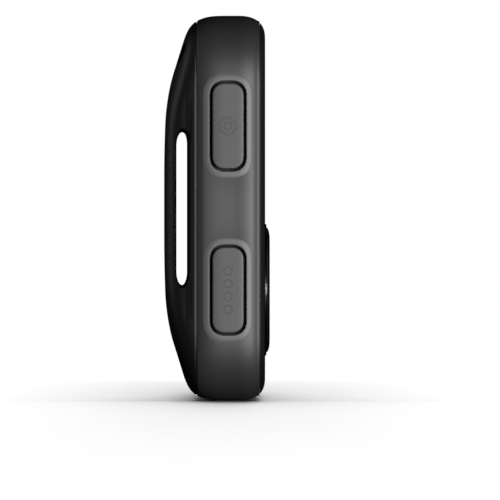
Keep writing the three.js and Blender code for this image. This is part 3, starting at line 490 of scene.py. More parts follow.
# %% The port door's recess
door_low, door_high = box_mm("port_door")
DOOR_GAP = 0.2
DOOR_LENGTH = 14.2
HINGE_RADIUS = 0.8
TAB_WIDTH = 4.4
PORT_HOLE = (2.2, 4.7, 1.2)  # half its width, half its length and its corners
SCOOP_RADIUS = 1.6
SCOOP_DEPTH = 0.7
door_z = door_high[2] - DOOR_LENGTH / 2
hinge_z = door_low[2] + HINGE_RADIUS
hinge_x = door_high[0] - HINGE_RADIUS
recess_x = door_low[0] - DOOR_GAP


def door_outline(grown, steps=14):
    """The outline of the port door, grown all round, as (y, z) about its middle."""
    half = (WELL_WIDTH / 2 - DOOR_GAP + grown, DOOR_LENGTH / 2 + grown)
    return superellipse_outline(*half, max(WELL_CORNER - DOOR_GAP + grown, 0.25), WELL_POWER, steps=steps)


def rounded(half_u, half_v, corner, steps=10):
    return superellipse_outline(half_u, half_v, corner, steps=steps)


tab_low = hinge_z - HINGE_RADIUS - 2 * DOOR_GAP
tab_high = door_z - DOOR_LENGTH / 2 + WELL_CORNER
half_tab = TAB_WIDTH / 2 + DOOR_GAP
port_z = middle_mm("port_door_seal")[2]
tab_recess = rounded(half_tab, (tab_high - tab_low) / 2, 0.3)
port_hole = rounded(*PORT_HOLE)
scoop_x = HALF_WIDTH - SCOOP_DEPTH
cut(
    side_band,
    side_prism("recess", door_outline(DOOR_GAP), 1, recess_x, OUTSIDE, BUTTON_Y, door_z),
    side_prism("tab_recess", tab_recess, 1, recess_x, OUTSIDE, BUTTON_Y, (tab_high + tab_low) / 2),
    side_prism("port_hole", port_hole, 1, HALF_WIDTH - SLEEVE_REACH, HALF_WIDTH, BUTTON_Y, port_z),
    side_prism("scoop", circle(SCOOP_RADIUS, 32), 1, scoop_x, scoop_x + 2, BUTTON_Y, door_high[2] + DOOR_GAP),
)
bevel(side_band, 0.07)
finish_piece(side_band, band_plastic, "case", "frame_grey", "mid_frame")

# %% [markdown]
# ## The front shell
#
# A thin black rim is all that shows of it from the side: the crown rolls over into the flat face. The face
# holds the recess of the lens, the window behind it, and the round opening of the navigation pad.

# %% Front rim and face
lens_low, lens_high = box_mm("display_lens")
lens_z = (lens_low[2] + lens_high[2]) / 2
lens_half = ((lens_high[0] - lens_low[0]) / 2, (lens_high[2] - lens_low[2]) / 2)
LENS_CORNER = 4.5
LENS_FIT = 0.15
LEDGE = 2
TRIM_FIT = 0.07
TRIM_LEDGE = 0.22
pad_low, pad_high = box_mm("nav_rocker")
pad_z = (pad_low[2] + pad_high[2]) / 2
trim_low, trim_high = box_mm("nav_trim_ring")
trim_radius = trim_high[0]
shell_inside = FRONT_FACE + 1.5


def rim_levels(count=20):
    """Depths from the seam to the face, closer together where the rim turns faster."""
    start = math.asin(((CROWN_FRONT - FRONT_SEAM) / (CROWN_FRONT - FRONT_FACE)) ** (FRONT_POWER / 2))
    turns = spread(start, math.pi / 2, count)
    length = CROWN_FRONT - FRONT_FACE
    return [CROWN_FRONT - length * math.sin(turn) ** (2 / FRONT_POWER) for turn in turns]


def lens_outline(grown, corner):
    """The outline of the lens, grown all round, as (x, z) about its middle."""
    return rounded(lens_half[0] + grown, lens_half[1] + grown, corner)


def front_prism(name, points, start, end, z, x=0.0):
    """A prism of an outline along the depth of the case."""
    return stack(name, [front_ring(start, points, z, x), front_ring(end, points, z, x)])


rim_start = FRONT_SEAM - 0.02
rim = [(shell_inside, BAND_WALL + 0.2), (rim_start, BAND_WALL + 0.2), (rim_start, tuck(FRONT_SEAM) + 0.12)]
rim += [(y, tuck(y)) for y in rim_levels()[1:]]
front_rim = stack("front_face", [front_ring(y, case_outline(inset), HALF_HEIGHT) for y, inset in rim])
before_face = FRONT_FACE - 1
behind_face = shell_inside + 1
cut(
    front_rim,
    front_prism("lens_recess", lens_outline(LENS_FIT, LENS_CORNER), before_face, lens_high[1] + 0.1, lens_z),
    front_prism("window", lens_outline(-LEDGE, LENS_CORNER - LEDGE), before_face, behind_face, lens_z),
    front_prism("trim_seat", circle(trim_radius + TRIM_FIT), before_face, trim_high[1] + 0.01, pad_z),
    front_prism("pad_hole", circle(trim_radius - TRIM_LEDGE), before_face, behind_face, pad_z),
)
bevel(front_rim, 0.08)
finish_piece(front_rim, shell_plastic, "case", "shell_black", "front_shell")

# %% [markdown]
# ## The back housing
#
# In profile it is a rounded edge, a straight slope, a shoulder and a nearly flat back. The strap tunnel
# runs through it from side to side, and its two mouths open like shallow trumpets, so that they don't wear
# the strap. The hump is a stack whose half length and half width follow the profile.


# %% Profile of the hump
def bezier(points, count):
    """Points along a Bezier curve, without its last one."""
    curve = []
    for share in spread(0, 1, count + 1)[:-1]:
        level = points
        while len(level) > 1:
            level = [
                (a[0] + (b[0] - a[0]) * share, a[1] + (b[1] - a[1]) * share) for a, b in zip(level, level[1:])
            ]
        curve.append(level[0])
    return curve


def hump_point(share, drop):
    """A point of the profile: its depth, and half the hump's length there."""
    return BACK_SEAM + share * HUMP_DEPTH, HALF_HEIGHT - drop


# Each stretch of the profile: its curve's points as (share, drop), and how many points it gets.
STRETCHES = [
    ([(0.0, 1.1), (0.135, 1.3), (0.28, 2.4), (0.39, 4.35)], 14),  # the rounded edge
    ([(0.39, 4.35), (0.737, 10.9)], 8),  # the slope
    ([(0.737, 10.9), (0.83, 12.8), (0.945, 16.1), (0.97, 19.7)], 14),  # the shoulder
    ([(0.97, 19.7), (0.99, 23), (1, 27)], 8),  # the nearly flat back
]
hump = []
for curve, count in STRETCHES:
    hump += bezier([hump_point(*point) for point in curve], count)
hump.append(hump_point(1, 27))

HUMP_SIDE_TUCK = 8.5
HUMP_SIDE_POWER = 3
EDGE_SLOPE = 0.25  # the sides lean in from the seam on, and not only further back
EDGE_SLOPE_DEPTH = 2
HOUSING_LAND = (0.11, 0.32)  # a fine land at the seam: how far it is drawn in, and how deep it is


def hump_ring(y, half_z, drawn=0.0):
    share = (y - BACK_SEAM) / HUMP_DEPTH
    side_tuck = 0.15 + tuck(BACK_SEAM) + drawn_in(share, HUMP_SIDE_TUCK, HUMP_SIDE_POWER)
    side_tuck += EDGE_SLOPE * min(share * HUMP_DEPTH, EDGE_SLOPE_DEPTH) + drawn
    half_x = HALF_WIDTH - side_tuck
    corner = min(CASE_CORNER - side_tuck, half_x - 2, half_z - 2)
    points = superellipse_outline(half_x, half_z, corner, CASE_POWER, steps=40)
    return front_ring(y, points, HALF_HEIGHT)


housing_levels = [hump_ring(BACK_SEAM, hump[0][1] - HOUSING_LAND[0], HOUSING_LAND[0])]
housing_levels += [hump_ring(BACK_SEAM + HOUSING_LAND[1], hump[0][1])]
housing_levels += [hump_ring(y, half_z) for y, half_z in hump if y > BACK_SEAM + HOUSING_LAND[1] + 0.05]
back_housing = stack("back_housing", housing_levels)

# %% The strap tunnel
TUNNEL_HALF = (1.035, 14.0)
TUNNEL_END = 2.5
TUNNEL_Y = BACK_SEAM + 1.73 + TUNNEL_HALF[0]
FLARE = 2.2
FLARE_INSET = 0.7
FLARE_DEPTH = 3.5


def tunnel_outline(grown):
    return superellipse_outline(
        TUNNEL_HALF[0] + grown,
        TUNNEL_HALF[1] + grown,
        TUNNEL_HALF[0] + grown - 0.01,
        2.0,
        steps=16,
        corner_v=TUNNEL_END + grown,
    )


tunnel_levels = []
for share in spread(0, 1, 20):
    x = HALF_WIDTH - FLARE_INSET - share * FLARE_DEPTH
    tunnel_levels.append((x, drawn_in(1 - share, FLARE, 2)))
tunnel_levels += [(-x, grown) for x, grown in reversed(tunnel_levels)]
tunnel_rings = [side_ring(x, tunnel_outline(grown), TUNNEL_Y, HALF_HEIGHT) for x, grown in tunnel_levels]
cut(back_housing, stack("tunnel", tunnel_rings))
print("tunnel:", round(2 * TUNNEL_HALF[0], 2), "by", 2 * TUNNEL_HALF[1], "mm")

# %% [markdown]
# Four screws enter from the back, each at the foot of a counterbore at a corner. The screws are drawn over
# their CAD nodes with rounded heads and a six-lobed socket, as small case screws have.

# %% Counterbores and screws
SCREWS = ["case_screw_" + corner for corner in ("upper_left", "upper_right", "lower_left", "lower_right")]
HEAD_RADIUS = 1.6
HEAD_HEIGHT = 1
SHANK_RADIUS = 0.8
SHANK_LENGTH = 7.9


def screw_place(name):
    """Where a case screw stands: across, up, and the depth at which its head starts."""
    x, y, z = middle_mm(name)
    return x, z, box_mm(name)[1][1] - HEAD_HEIGHT


for name in SCREWS:
    x, z, head_y = screw_place(name)
    bore = front_prism("bore", circle(HEAD_RADIUS + 0.15, 32), head_y, BACK_FACE + 1, z, x)
    clearance = front_prism("clearance", circle(SHANK_RADIUS + 0.1, 24), head_y - 1, BACK_FACE + 1, z, x)
    cut(back_housing, bore, clearance)
bevel(back_housing, 0.1)
finish_piece(back_housing, shell_plastic, "case", "shell_black", "back_shell")


def lobed(radius, depth, lobes=6, count=48):
    """A socket outline with soft lobes."""
    points = []
    for i in range(count):
        turn = 2 * math.pi * i / count
        r = radius + depth * math.cos(lobes * turn)
        points.append((r * math.cos(turn), r * math.sin(turn)))
    return points


def head_levels(head_y, x, z):
    """A low domed screw head: depths and radii from the shank's end to the top."""
    tip, dome = head_y - SHANK_LENGTH, head_y + 0.55
    profile = [(tip, SHANK_RADIUS - 0.1), (tip + 0.2, SHANK_RADIUS), (head_y, SHANK_RADIUS)]
    profile += [(head_y, HEAD_RADIUS), (dome, HEAD_RADIUS)]
    profile += [(dome + 0.45 * math.sin(t), 0.9 + 0.7 * math.cos(t)) for t in spread(0.2, math.pi / 2, 6)]
    return [front_ring(y, circle(radius, 48), z, x) for y, radius in profile]


# %% [markdown]
# ### Finishes for metal
#
# A machined or rolled metal scatters light along its working marks. Fine noise, stretched along one
# direction, drives the roughness. The colour alone decides the reflection, because a metal keeps the usual
# IOR.


# %% Metal finishes
def worked_metal(name, colour, roughness, stretch, line=0.12):
    """Metal with fine marks. stretch scales them along X, Y and Z, and line is their width in millimetres."""
    finish, place = new_finish(name)
    marks_place = add_node(finish, "ShaderNodeMapping", {"Vector": place, "Scale": stretch})
    marks_size = {"Vector": marks_place.outputs["Vector"], "Scale": 1 / (line * MM), "Detail": 3.0}
    marks = add_node(finish, "ShaderNodeTexNoise", marks_size)
    surface = follow(finish, marks, roughness, 0.08, 0.002)
    return close_finish(finish, {"Base Color": linear(colour), "Metallic": 1.0, **surface})


screw_steel = worked_metal("turned_steel_screw", "#a9abae", 0.32, (1, 0.1, 1))
trim_metal = worked_metal("black_anodised_trim", "#2c2c2e", 0.3, (1, 1, 1), line=0.2)
drawn_steel = worked_metal("drawn_steel_socket", "#b9bbbd", 0.3, (0.1, 1, 1))
tin_plate = worked_metal("tinned_shield", "#b4b6b8", 0.38, (1, 1, 1), line=0.5)
pouch_foil = worked_metal("battery_pouch_foil", "#b8babd", 0.42, (1, 1, 0.2), line=0.8)

for name in SCREWS:
    x, z, head_y = screw_place(name)
    screw = stack(name.replace("case_screw", "screw"), head_levels(head_y, x, z))
    cut(screw, front_prism("socket", lobed(0.62, 0.1), head_y + 0.4, head_y + 2, z, x))
    finish_piece(screw, screw_steel, "case", "screw_steel", name)

# %% [markdown]
# ## Buttons and their boots
#
# Each button is a hard cap that floats in a grey silicone boot. The boot's lip crowns over the band like a
# thick rim, a moat parts the lip from the cap, and the boot's floor closes the moat, so no water gets in.
# The rings of both pieces follow the crowned side of the case. The moat's walls and floor are painted dark,
# as shade.


# %% Boots
# The lip's section, from its inner wall outwards: how far out from the well, and how high over the band.
LIP = [(0.0, -0.5), (-0.08, -0.2), (-0.08, 0.02), (-0.06, 0.055), (-0.01, 0.07), (0.3, 0.08), (0.6, 0.08)]
LIP += [(0.85, 0.06), (1.0, 0.025), (LIP_WIDTH, 0.0)]
MEMBRANE_WALL = 0.55
MOAT_SHADE_DEPTH = 0.12  # deeper than this under the band, the boot is painted dark: painted shade in the moat
# The dark finish below is painted shade. It darkens the moat's walls and floor, where shade falls, and is not
# a second layer of silicone.
moat_shade_paint = moulded("painted_moat_shade", "#28282a", "#2b2b2d", 0.9, **{"Specular IOR Level": 0.1})


def wall_ring(side, z, points, height):
    """An outline of (y, z) laid on the side of the case, at a height over it."""
    return [(side * (side_surface(BUTTON_Y + u, z + v) + height), BUTTON_Y + u, z + v) for u, v in points]


lip_foot = HALF_WIDTH - LIP_DEPTH + 0.02
lip_root = LIP_WIDTH - LIP_LAP - 0.02
sleeve = [(MEMBRANE_X - MEMBRANE_WALL, SLEEVE_WALL), (lip_foot, SLEEVE_WALL), (lip_foot, lip_root)]
lip = [(lip_root, -0.1), (LIP_WIDTH, -0.04), *reversed(LIP)]
for name, (side, z) in BUTTONS.items():
    levels = [side_ring(side * x, well_outline(grown), BUTTON_Y, z) for x, grown in sleeve]
    levels += [wall_ring(side, z, well_outline(grown), height) for grown, height in lip]
    levels += [side_ring(side * MEMBRANE_X, well_outline(0), BUTTON_Y, z)]
    boot = stack(name + "_boot", levels, 50)
    finish_piece(boot, boot_silicone, "case", "boot_grey", name + "_button_boot")
    # Faces down in the moat take the dark finish: painted shade on the moat's walls and floor.
    boot.data.materials.append(moat_shade_paint)
    for face in boot.data.polygons:
        y, z_here = face.center.y / MM, face.center.z / MM
        if abs(face.center.x) / MM < side_surface(y, z_here) - MOAT_SHADE_DEPTH:
            face.material_index = 1

# %% Caps
CAP_PROUD = 0.2
CAP_EDGE = 0.16
CAP_MOAT = 0.6
CAP_TRAVEL = 0.34  # room between the cap and the boot's floor for its press

for name, (side, z) in BUTTONS.items():
    levels = [side_ring(side * (MEMBRANE_X + CAP_TRAVEL), well_outline(-CAP_MOAT), BUTTON_Y, z)]
    for turn in spread(0, math.pi / 2, 6):
        grown = -CAP_MOAT - CAP_EDGE * (1 - math.cos(turn))
        levels.append(wall_ring(side, z, well_outline(grown), CAP_PROUD - CAP_EDGE * (1 - math.sin(turn))))
    for inward in spread(0.25, 1.75, 7):
        levels.append(wall_ring(side, z, well_outline(-CAP_MOAT - CAP_EDGE - inward), CAP_PROUD))
    cap = stack(name + "_cap", levels)
    finish_piece(cap, cap_plastic, name + "_button", "button_grey", name + "_button")

# %% [markdown]
# The marks on the caps are moulded as thin raised lines and left in a slightly darker tone: a plain gear on
# the upper button, a row of rings on the lower one, and the usual sign for power on the other side. Each
# stroke is a ribbon laid on the cap.


# %% Marks on the caps
LINE_WIDTH = 0.17
LINE_HEIGHT = 0.018


def ribbon(shape, side, z, path, closed):
    """Adds a stroke to a bmesh: a ribbon along a path of (y, z) about the middle of a button."""
    count = len(path)
    rings = []
    for i, (u, v) in enumerate(path):
        before = path[(i - 1) % count] if closed else path[max(0, i - 1)]
        after = path[(i + 1) % count] if closed else path[min(count - 1, i + 1)]
        length = math.hypot(after[0] - before[0], after[1] - before[1])
        across_u = (after[1] - before[1]) / length * LINE_WIDTH / 2
        across_v = (before[0] - after[0]) / length * LINE_WIDTH / 2
        ring = []
        for sign, height in ((-1, -0.05), (-1, LINE_HEIGHT), (1, LINE_HEIGHT), (1, -0.05)):
            y, at_z = BUTTON_Y + u + sign * across_u, z + v + sign * across_v
            ring.append((side * (side_surface(y, at_z) + CAP_PROUD + height), y, at_z))
        rings.append(ring)
    add_stack(shape, rings, closed)


def arc(radius, start, end, count=40, u=0.0, v=0.0):
    return [(u + radius * math.cos(turn), v + radius * math.sin(turn)) for turn in spread(start, end, count)]


def ring_path(radius, v=0.0, count=40):
    return arc(radius, 0, 2 * math.pi * (count - 1) / count, count, v=v)


def gear_path(teeth=8, outer=1.75, root=1.35):
    """Round the teeth of a gear, each with sloping flanks."""
    path = []
    for tooth in range(teeth):
        for share, radius in ((0, root), (0.12, outer), (0.38, outer), (0.5, root), (0.75, root)):
            turn = 2 * math.pi * (tooth + share) / teeth
            path.append((radius * math.cos(turn), radius * math.sin(turn)))
    return path


RING_PITCH = 2.3
MARKS = {
    "settings": [(gear_path(), True), (ring_path(0.7), True)],
    "mode": [(ring_path(0.75, v=RING_PITCH * place), True) for place in (-1.5, -0.5, 0.5, 1.5)],
    "power": [(arc(1.3, math.radians(125), math.radians(415)), False), ([(0, 0.5), (0, 1.75)], False)],
}
for name, strokes in MARKS.items():
    side, z = BUTTONS[name]
    shape = bmesh.new()
    for path, closed in strokes:
        ribbon(shape, side, z, path, closed)
    mark = make_piece(name + "_mark", shape, 50)
    finish_piece(mark, mark_ink, name + "_button", "button_grey")

# %% [markdown]
# ## The navigation pad
#
# A thin metal ring frames a gloss black pad that rocks four ways, with a button in the middle. All three
# are turned shapes, made here by spinning a profile of (radius, depth) round the pad's axis. The pad's face
# dips a little towards the middle, so that a thumb finds it.


# %% Turned pieces of the pad
def turned(name, profile, count=160, sharp_angle=35):
    """A closed ring or disc through a profile of (radius, depth) about the pad's axis."""
    shape = bmesh.new()
    rings = []
    for radius, y in profile:
        if radius == 0:
            rings.append([shape.verts.new((0, y, pad_z))] * count)
        else:
            rings.append([shape.verts.new((u, y, pad_z + v)) for u, v in circle(radius, count)])
    pairs = list(zip(rings, rings[1:]))
    if profile[0][0] > 0:
        pairs.append((rings[-1], rings[0]))
    for low, high in pairs:
        for i in range(count):
            j = (i + 1) % count
            corners = []
            for vertex in (low[i], low[j], high[j], high[i]):
                if vertex not in corners:
                    corners.append(vertex)
            shape.faces.new(corners)
    return make_piece(name, shape, sharp_angle)


def quarter(start, end, turn_from, count=8):
    """A quarter of an ellipse between two points of a profile, level at the start or at the end."""
    points = []
    for turn in spread(0, math.pi / 2, count):
        a, b = math.sin(turn), 1 - math.cos(turn)
        if turn_from != "level":
            a, b = 1 - math.cos(turn), math.sin(turn)
        points.append((start[0] + (end[0] - start[0]) * a, start[1] + (end[1] - start[1]) * b))
    return points


trim_inside = trim_radius - 0.45
trim_top = trim_low[1]
trim_profile = [(trim_inside, trim_high[1])]
trim_profile += quarter((trim_inside, trim_top + 0.06), (trim_inside + 0.06, trim_top), "upright", 4)
trim_profile += quarter((trim_radius - 0.14, trim_top), (trim_radius, trim_top + 0.14), "level", 6)
trim_profile += [(trim_radius, trim_high[1])]
finish_piece(turned("trim_ring", trim_profile), trim_metal, "case", "trim_aluminium", "nav_trim_ring")

PAD_EDGE = 2.2
PAD_DISH = 0.25
PAD_LIFT = 0.5  # room under the pad for its tilt
SELECT_FIT = 0.2
SELECT_TRAVEL = 0.6  # room under the button's stem for its press
pad_top = pad_low[1]
pad_radius = trim_inside - 0.15
pad_back = pad_high[1] - PAD_LIFT
select_radius = box_mm("select_button")[1][0]
bore = select_radius + SELECT_FIT
crest = pad_radius - PAD_EDGE
pad_profile = [(bore, pad_back), (bore, pad_top + PAD_DISH + 0.12)]
pad_profile += [(bore + 0.05, pad_top + PAD_DISH + 0.03), (bore + 0.15, pad_top + PAD_DISH)]
for share in spread(0.1, 1, 14):
    radius = bore + 0.15 + (crest - bore - 0.15) * share
    pad_profile.append((radius, pad_top + PAD_DISH * (1 + math.cos(math.pi * share)) / 2))
pad_profile += quarter((crest, pad_top), (pad_radius, pad_top + 0.62), "level", 16)[1:]
pad_profile.append((pad_radius, pad_back))
finish_piece(turned("pad", pad_profile), pad_plastic, "nav_rocker", "pad_gloss", "nav_rocker")

select_low, select_high = box_mm("select_button")
select_top = select_low[1]
select_crest = select_radius - 0.5
select_profile = [(0, select_top + 0.12)]
for share in spread(0.15, 1, 8):
    select_profile.append((select_crest * share, select_top + 0.06 * (1 + math.cos(math.pi * share))))
select_profile += quarter((select_crest, select_top), (select_radius, select_top + 0.3), "level", 8)[1:]
select_back = select_high[1] - SELECT_TRAVEL
select_profile += [(select_radius, select_top + 1.2), (1.6, select_top + 1.2), (1.6, select_back)]
select_profile += [(0, select_back)]
finish_piece(turned("select", select_profile), pad_plastic, "select_button", "pad_gloss", "select_button")

# %% Direction marks
ARROW_RADIUS = 7.6
ARROW = [(ARROW_RADIUS + 0.75, 0), (ARROW_RADIUS - 0.35, 0.9), (ARROW_RADIUS - 0.35, -0.9)]
arrow_y = pad_top + PAD_DISH * (1 + math.cos(math.pi * (ARROW_RADIUS - bore) / (crest - bore))) / 2
arrows = bmesh.new()
for turn in (0, 90, 180, 270):
    outward = math.cos(math.radians(turn)), math.sin(math.radians(turn))
    places = [(a * outward[0] - b * outward[1], a * outward[1] + b * outward[0]) for a, b in ARROW]
    add_stack(arrows, [front_ring(y, places, pad_z) for y in (arrow_y - 0.03, arrow_y + 0.3)])
arrow_marks = make_piece("direction_marks", arrows)
arrow_ink = moulded("pale_direction_mark", "#8c8d8f", "#949597", 0.5, grain_height=0.001)
finish_piece(arrow_marks, arrow_ink, "nav_rocker", "pad_gloss")

# %% [markdown]
# ## The display
#
# The lens is a clear moulded window with a black border printed on its back. Behind it lies a reflective
# liquid crystal panel, pale grey green, like those that are read in sunlight. Its figures are plain
# seven-segment ones, laid on the panel as thin dark plates.

# %% Lens and border
LENS_EDGE = 0.25
lens_levels = []
for turn in spread(0, math.pi / 2, 6):
    inset = LENS_EDGE * (1 - math.sin(turn))
    lens_levels.append((lens_low[1] + LENS_EDGE * (1 - math.cos(turn)), inset))
lens_levels.append((lens_high[1], 0))
lens_rings = [
    front_ring(y, superellipse_outline(*lens_half, LENS_CORNER, inset=inset, steps=16), lens_z)
    for y, inset in lens_levels
]
lens = stack("lens", lens_rings)


def clear_window():
    """Clear hard-coated plastic, with the faint waviness of moulding in its surface."""
    finish, place = new_finish("clear_hard_coated_window")
    waves = add_node(finish, "ShaderNodeTexNoise", {"Vector": place, "Scale": 1 / (9 * MM), "Detail": 1.0})
    gloss = {"Value": waves.outputs["Fac"], "To Min": 0.015, "To Max": 0.05}
    rough = add_node(finish, "ShaderNodeMapRange", gloss).outputs["Result"]
    clear = {"Base Color": linear("#e9eef0"), "Transmission Weight": 1.0, "IOR": 1.49}
    return close_finish(finish, {"Roughness": rough, **clear})


window_glass = clear_window()
finish_piece(lens, window_glass, "case", "lens", "display_lens")

WINDOW_HALF = (15.55, 12.45)
VIEW_HALF = (14.5, 11.4)
print_y = lens_high[1] + 0.02
border = front_prism("lens_border", rounded(*WINDOW_HALF, 2.4), print_y, print_y + 0.03, lens_z)
cut(border, front_prism("view", rounded(*VIEW_HALF, 1.2), lens_high[1] - 1, lens_high[1] + 1, lens_z))
finish_piece(border, black_plastic, "case", "black_plastic")

# %% Figures on the panel
# The lit segments of each figure, numbered clockwise from the top one. The middle one is 6.
LIT = {
    "0": "012345",
    "1": "12",
    "2": "01346",
    "3": "01236",
    "4": "1256",
    "6": "023456",
    "7": "012",
    "8": "0123456",
}
SLANT = 0.09
LARGE = (4.7, 8.8, 1.25)  # a figure's width, its height and its stroke
SMALL = (2.1, 4.2, 0.6)
RULE = 0.14  # the width of the lines between the numbers
panel_face = box_mm("display_panel")[0][1]


def plate(shape, corners):
    """Adds a thin plate on the panel to a bmesh, from corners (x, z)."""
    add_stack(shape, [[(x, panel_face - lift, z) for x, z in corners] for lift in (0.002, 0.02)])


def bar(shape, x, z, from_corner, to_corner, thick):
    """A segment with pointed ends between two corners of a figure, which leans to the right."""
    (x0, z0), (x1, z1) = from_corner, to_corner
    length = math.hypot(x1 - x0, z1 - z0)
    along = ((x1 - x0) / length, (z1 - z0) / length)
    gap, half = thick * 0.14, thick / 2
    start, end = gap + half, length - gap - half
    outline = [(gap, 0), (start, half), (end, half), (length - gap, 0), (end, -half), (start, -half)]
    corners = []
    for distance, offset in outline:
        u = x0 + along[0] * distance - along[1] * offset
        v = z0 + along[1] * distance + along[0] * offset
        corners.append((x + u + v * SLANT, z + v))
    plate(shape, corners)


def figure(shape, digit, x, z, width, height, thick):
    low, middle, top = ([(0, level), (width, level)] for level in (0, height / 2, height))
    ends = [top, (middle[1], top[1]), (low[1], middle[1]), low]
    ends += [(low[0], middle[0]), (middle[0], top[0]), middle]
    for segment in LIT[digit]:
        bar(shape, x, z, *ends[int(segment)], thick)


def number(shape, text, x, z, width, height, thick):
    """Figures from left to right. A point or a colon takes a narrow place."""
    for sign in text:
        if sign in ".:":
            for share in (0.0,) if sign == "." else (0.25, 0.65):
                v = height * share
                left, low = x - thick * 0.3 + v * SLANT, z + v - thick / 2
                square = [(0, 0), (thick, 0), (thick, thick), (0, thick)]
                plate(shape, [(left + a + b * SLANT, low + b) for a, b in square])
            x += thick * 1.9
        else:
            figure(shape, sign, x, z, width, height, thick)
            x += width + thick * 2.1


figures = bmesh.new()
number(figures, "24.6", -11.6, lens_z - 0.6, *LARGE)
number(figures, "31.8", -12.4, lens_z - 9.0, *SMALL)
number(figures, "1:07", 1.6, lens_z - 9.0, *SMALL)
for low, high in (((-13.2, -2.9), (13.2, -2.9 + RULE)), ((-0.6, -10.0), (-0.6 + RULE, -3.9))):
    corners = [(low[0], low[1]), (high[0], low[1]), (high[0], high[1]), (low[0], high[1])]
    plate(figures, [(x, lens_z + z) for x, z in corners])
figure_plates = make_piece("display_figures", figures)
figure_ink = moulded("liquid_crystal_figure", "#20241f", "#262a24", 0.5, grain_height=0.0005)
finish_piece(figure_plates, figure_ink, "case", "panel_glass")

# %% [markdown]
# ## The port door
#
# The charging port's door is a leaf with softened edges on a hinge at its lower end. Its barrel is narrower
# than the leaf, and a scoop in the band above it leaves room for a fingernail.

# %% Door leaf and hinge barrel
DOOR_EDGE = 0.3
HALF_TAB_LENGTH = 1.6
door_face = door_high[0]
door_levels = [side_ring(door_low[0], door_outline(0), BUTTON_Y, door_z)]
for turn in spread(0, math.pi / 2, 7):
    inset = DOOR_EDGE * (1 - math.cos(turn))
    x = door_face - DOOR_EDGE * (1 - math.sin(turn)) - 0.02
    door_levels.append(side_ring(x, door_outline(-inset), BUTTON_Y, door_z))
door = stack("door_leaf", door_levels)
half_barrel = TAB_WIDTH / 2
tab_outline = rounded(half_barrel, HALF_TAB_LENGTH, 0.2)
tab = side_prism("tab", tab_outline, 1, door_low[0], door_face - 0.1, BUTTON_Y, hinge_z + HALF_TAB_LENGTH)
barrel_profile = [(hinge_x + u, hinge_z + v) for u, v in circle(HINGE_RADIUS, 48)]
barrel = stack(
    "barrel",
    [[(x, BUTTON_Y + y, z) for x, z in barrel_profile] for y in (-half_barrel, half_barrel)],
)
cut(door, tab, barrel, operation="UNION")
bevel(door, 0.08, angle=50)
finish_piece(door, cap_plastic, "port_door", "button_grey", "port_door")

# %% [markdown]
# ## Finishes for the inner parts
#
# The parts inside keep their CAD shapes. Each takes the finish of its material: solder mask with traces
# under it on the boards, brushed foil, moulded plastic, silicone, ceramic, amber film and wire insulation.


# %% Finishes for boards, film and ceramic
def grid_pattern(finish, place, colours, line, width, height, **settings):
    """Lines on faces that look to the front: colours are two for the fields and one for the lines."""
    upright = add_node(finish, "ShaderNodeMapping", {"Vector": place, "Rotation": (math.radians(90), 0, 0)})
    inputs = {name: linear(colour) for name, colour in zip(("Color1", "Color2", "Mortar"), colours)}
    inputs.update({"Vector": upright.outputs["Vector"], "Scale": 1.0})
    inputs.update({"Mortar Size": line * MM, "Brick Width": width * MM, "Row Height": height * MM})
    return add_node(finish, "ShaderNodeTexBrick", inputs, **settings)


def board_finish():
    """Green solder mask, a little lighter and raised where copper traces run under it."""
    finish, place = new_finish("solder_mask_over_traces")
    traces = grid_pattern(finish, place, ("#0c4a26", "#0e5029", "#2f7d45"), 0.11, 3.1, 0.8)
    traces.inputs["Mortar Smooth"].default_value = 0.2
    relief = {"Height": traces.outputs["Fac"], "Distance": 0.03 * MM, "Strength": 1.0}
    bump = add_node(finish, "ShaderNodeBump", relief)
    mask = {"Base Color": traces.outputs["Color"], "Roughness": 0.34, "Coat Weight": 0.4}
    return close_finish(finish, {"Normal": bump.outputs["Normal"], **mask})


def panel_finish():
    """The pale cell of a reflective display, with the fine grid of its pixels."""
    finish, place = new_finish("reflective_display_cell")
    grid = grid_pattern(finish, place, ("#a9b1a2", "#abb3a4", "#9fa798"), 0.012, 0.2, 0.2, offset=0.0)
    return close_finish(finish, {"Base Color": grid.outputs["Color"], "Roughness": 0.38, "Coat Weight": 0.2})


board_green = board_finish()
display_cell = panel_finish()
amber_film = moulded("polyimide_film", "#b4691c", "#c07424", 0.3, grain=0.8, grain_height=0.002)
ceramic = moulded("fired_ceramic", "#d9cdae", "#e2d7ba", 0.55, grain=0.15)
red_wire = moulded("red_silicone_wire", "#9c1414", "#a81a1a", 0.5, grain=0.15)

CAD_FINISHES = {
    "silicone_black": black_silicone,
    "screw_steel": screw_steel,
    "panel_glass": display_cell,
    "white_plastic": white_plastic,
    "black_plastic": black_plastic,
    "amber_film": amber_film,
    "board_green": board_green,
    "socket_steel": drawn_steel,
    "foil": tin_plate,
    "antenna_ceramic": ceramic,
    "cell_foil": pouch_foil,
    "wire_red": red_wire,
}

# %% Give every CAD node that still shows its finish
slots = {part["node"]: part["material_slot"] for part in frame["record"]["subparts"]}
for name, node in sorted(frame["nodes"].items()):
    node.data.materials.clear()
    node.data.materials.append(CAD_FINISHES.get(slots[name], black_plastic))
    for polygon in node.data.polygons:
        polygon.use_smooth = False
print(len(frame["nodes"]), "CAD nodes have a finish")

# %% [markdown]
# ## Floor and backdrop
#
# The device stands on a pale tabletop. The table is level under it, rises a little behind it and falls away
# softly towards the viewer, so that a level camera sees the shadow on both sides of the line of contact.

# %% Floor
FLOOR_REACH = 900
FALL_START = 14.0
FALL_RADIUS = 70.0
FALL_ANGLE = math.radians(20)
RISE = 3.2  # how far the table rises behind the device
RISE_START = 10
RISE_LENGTH = 26


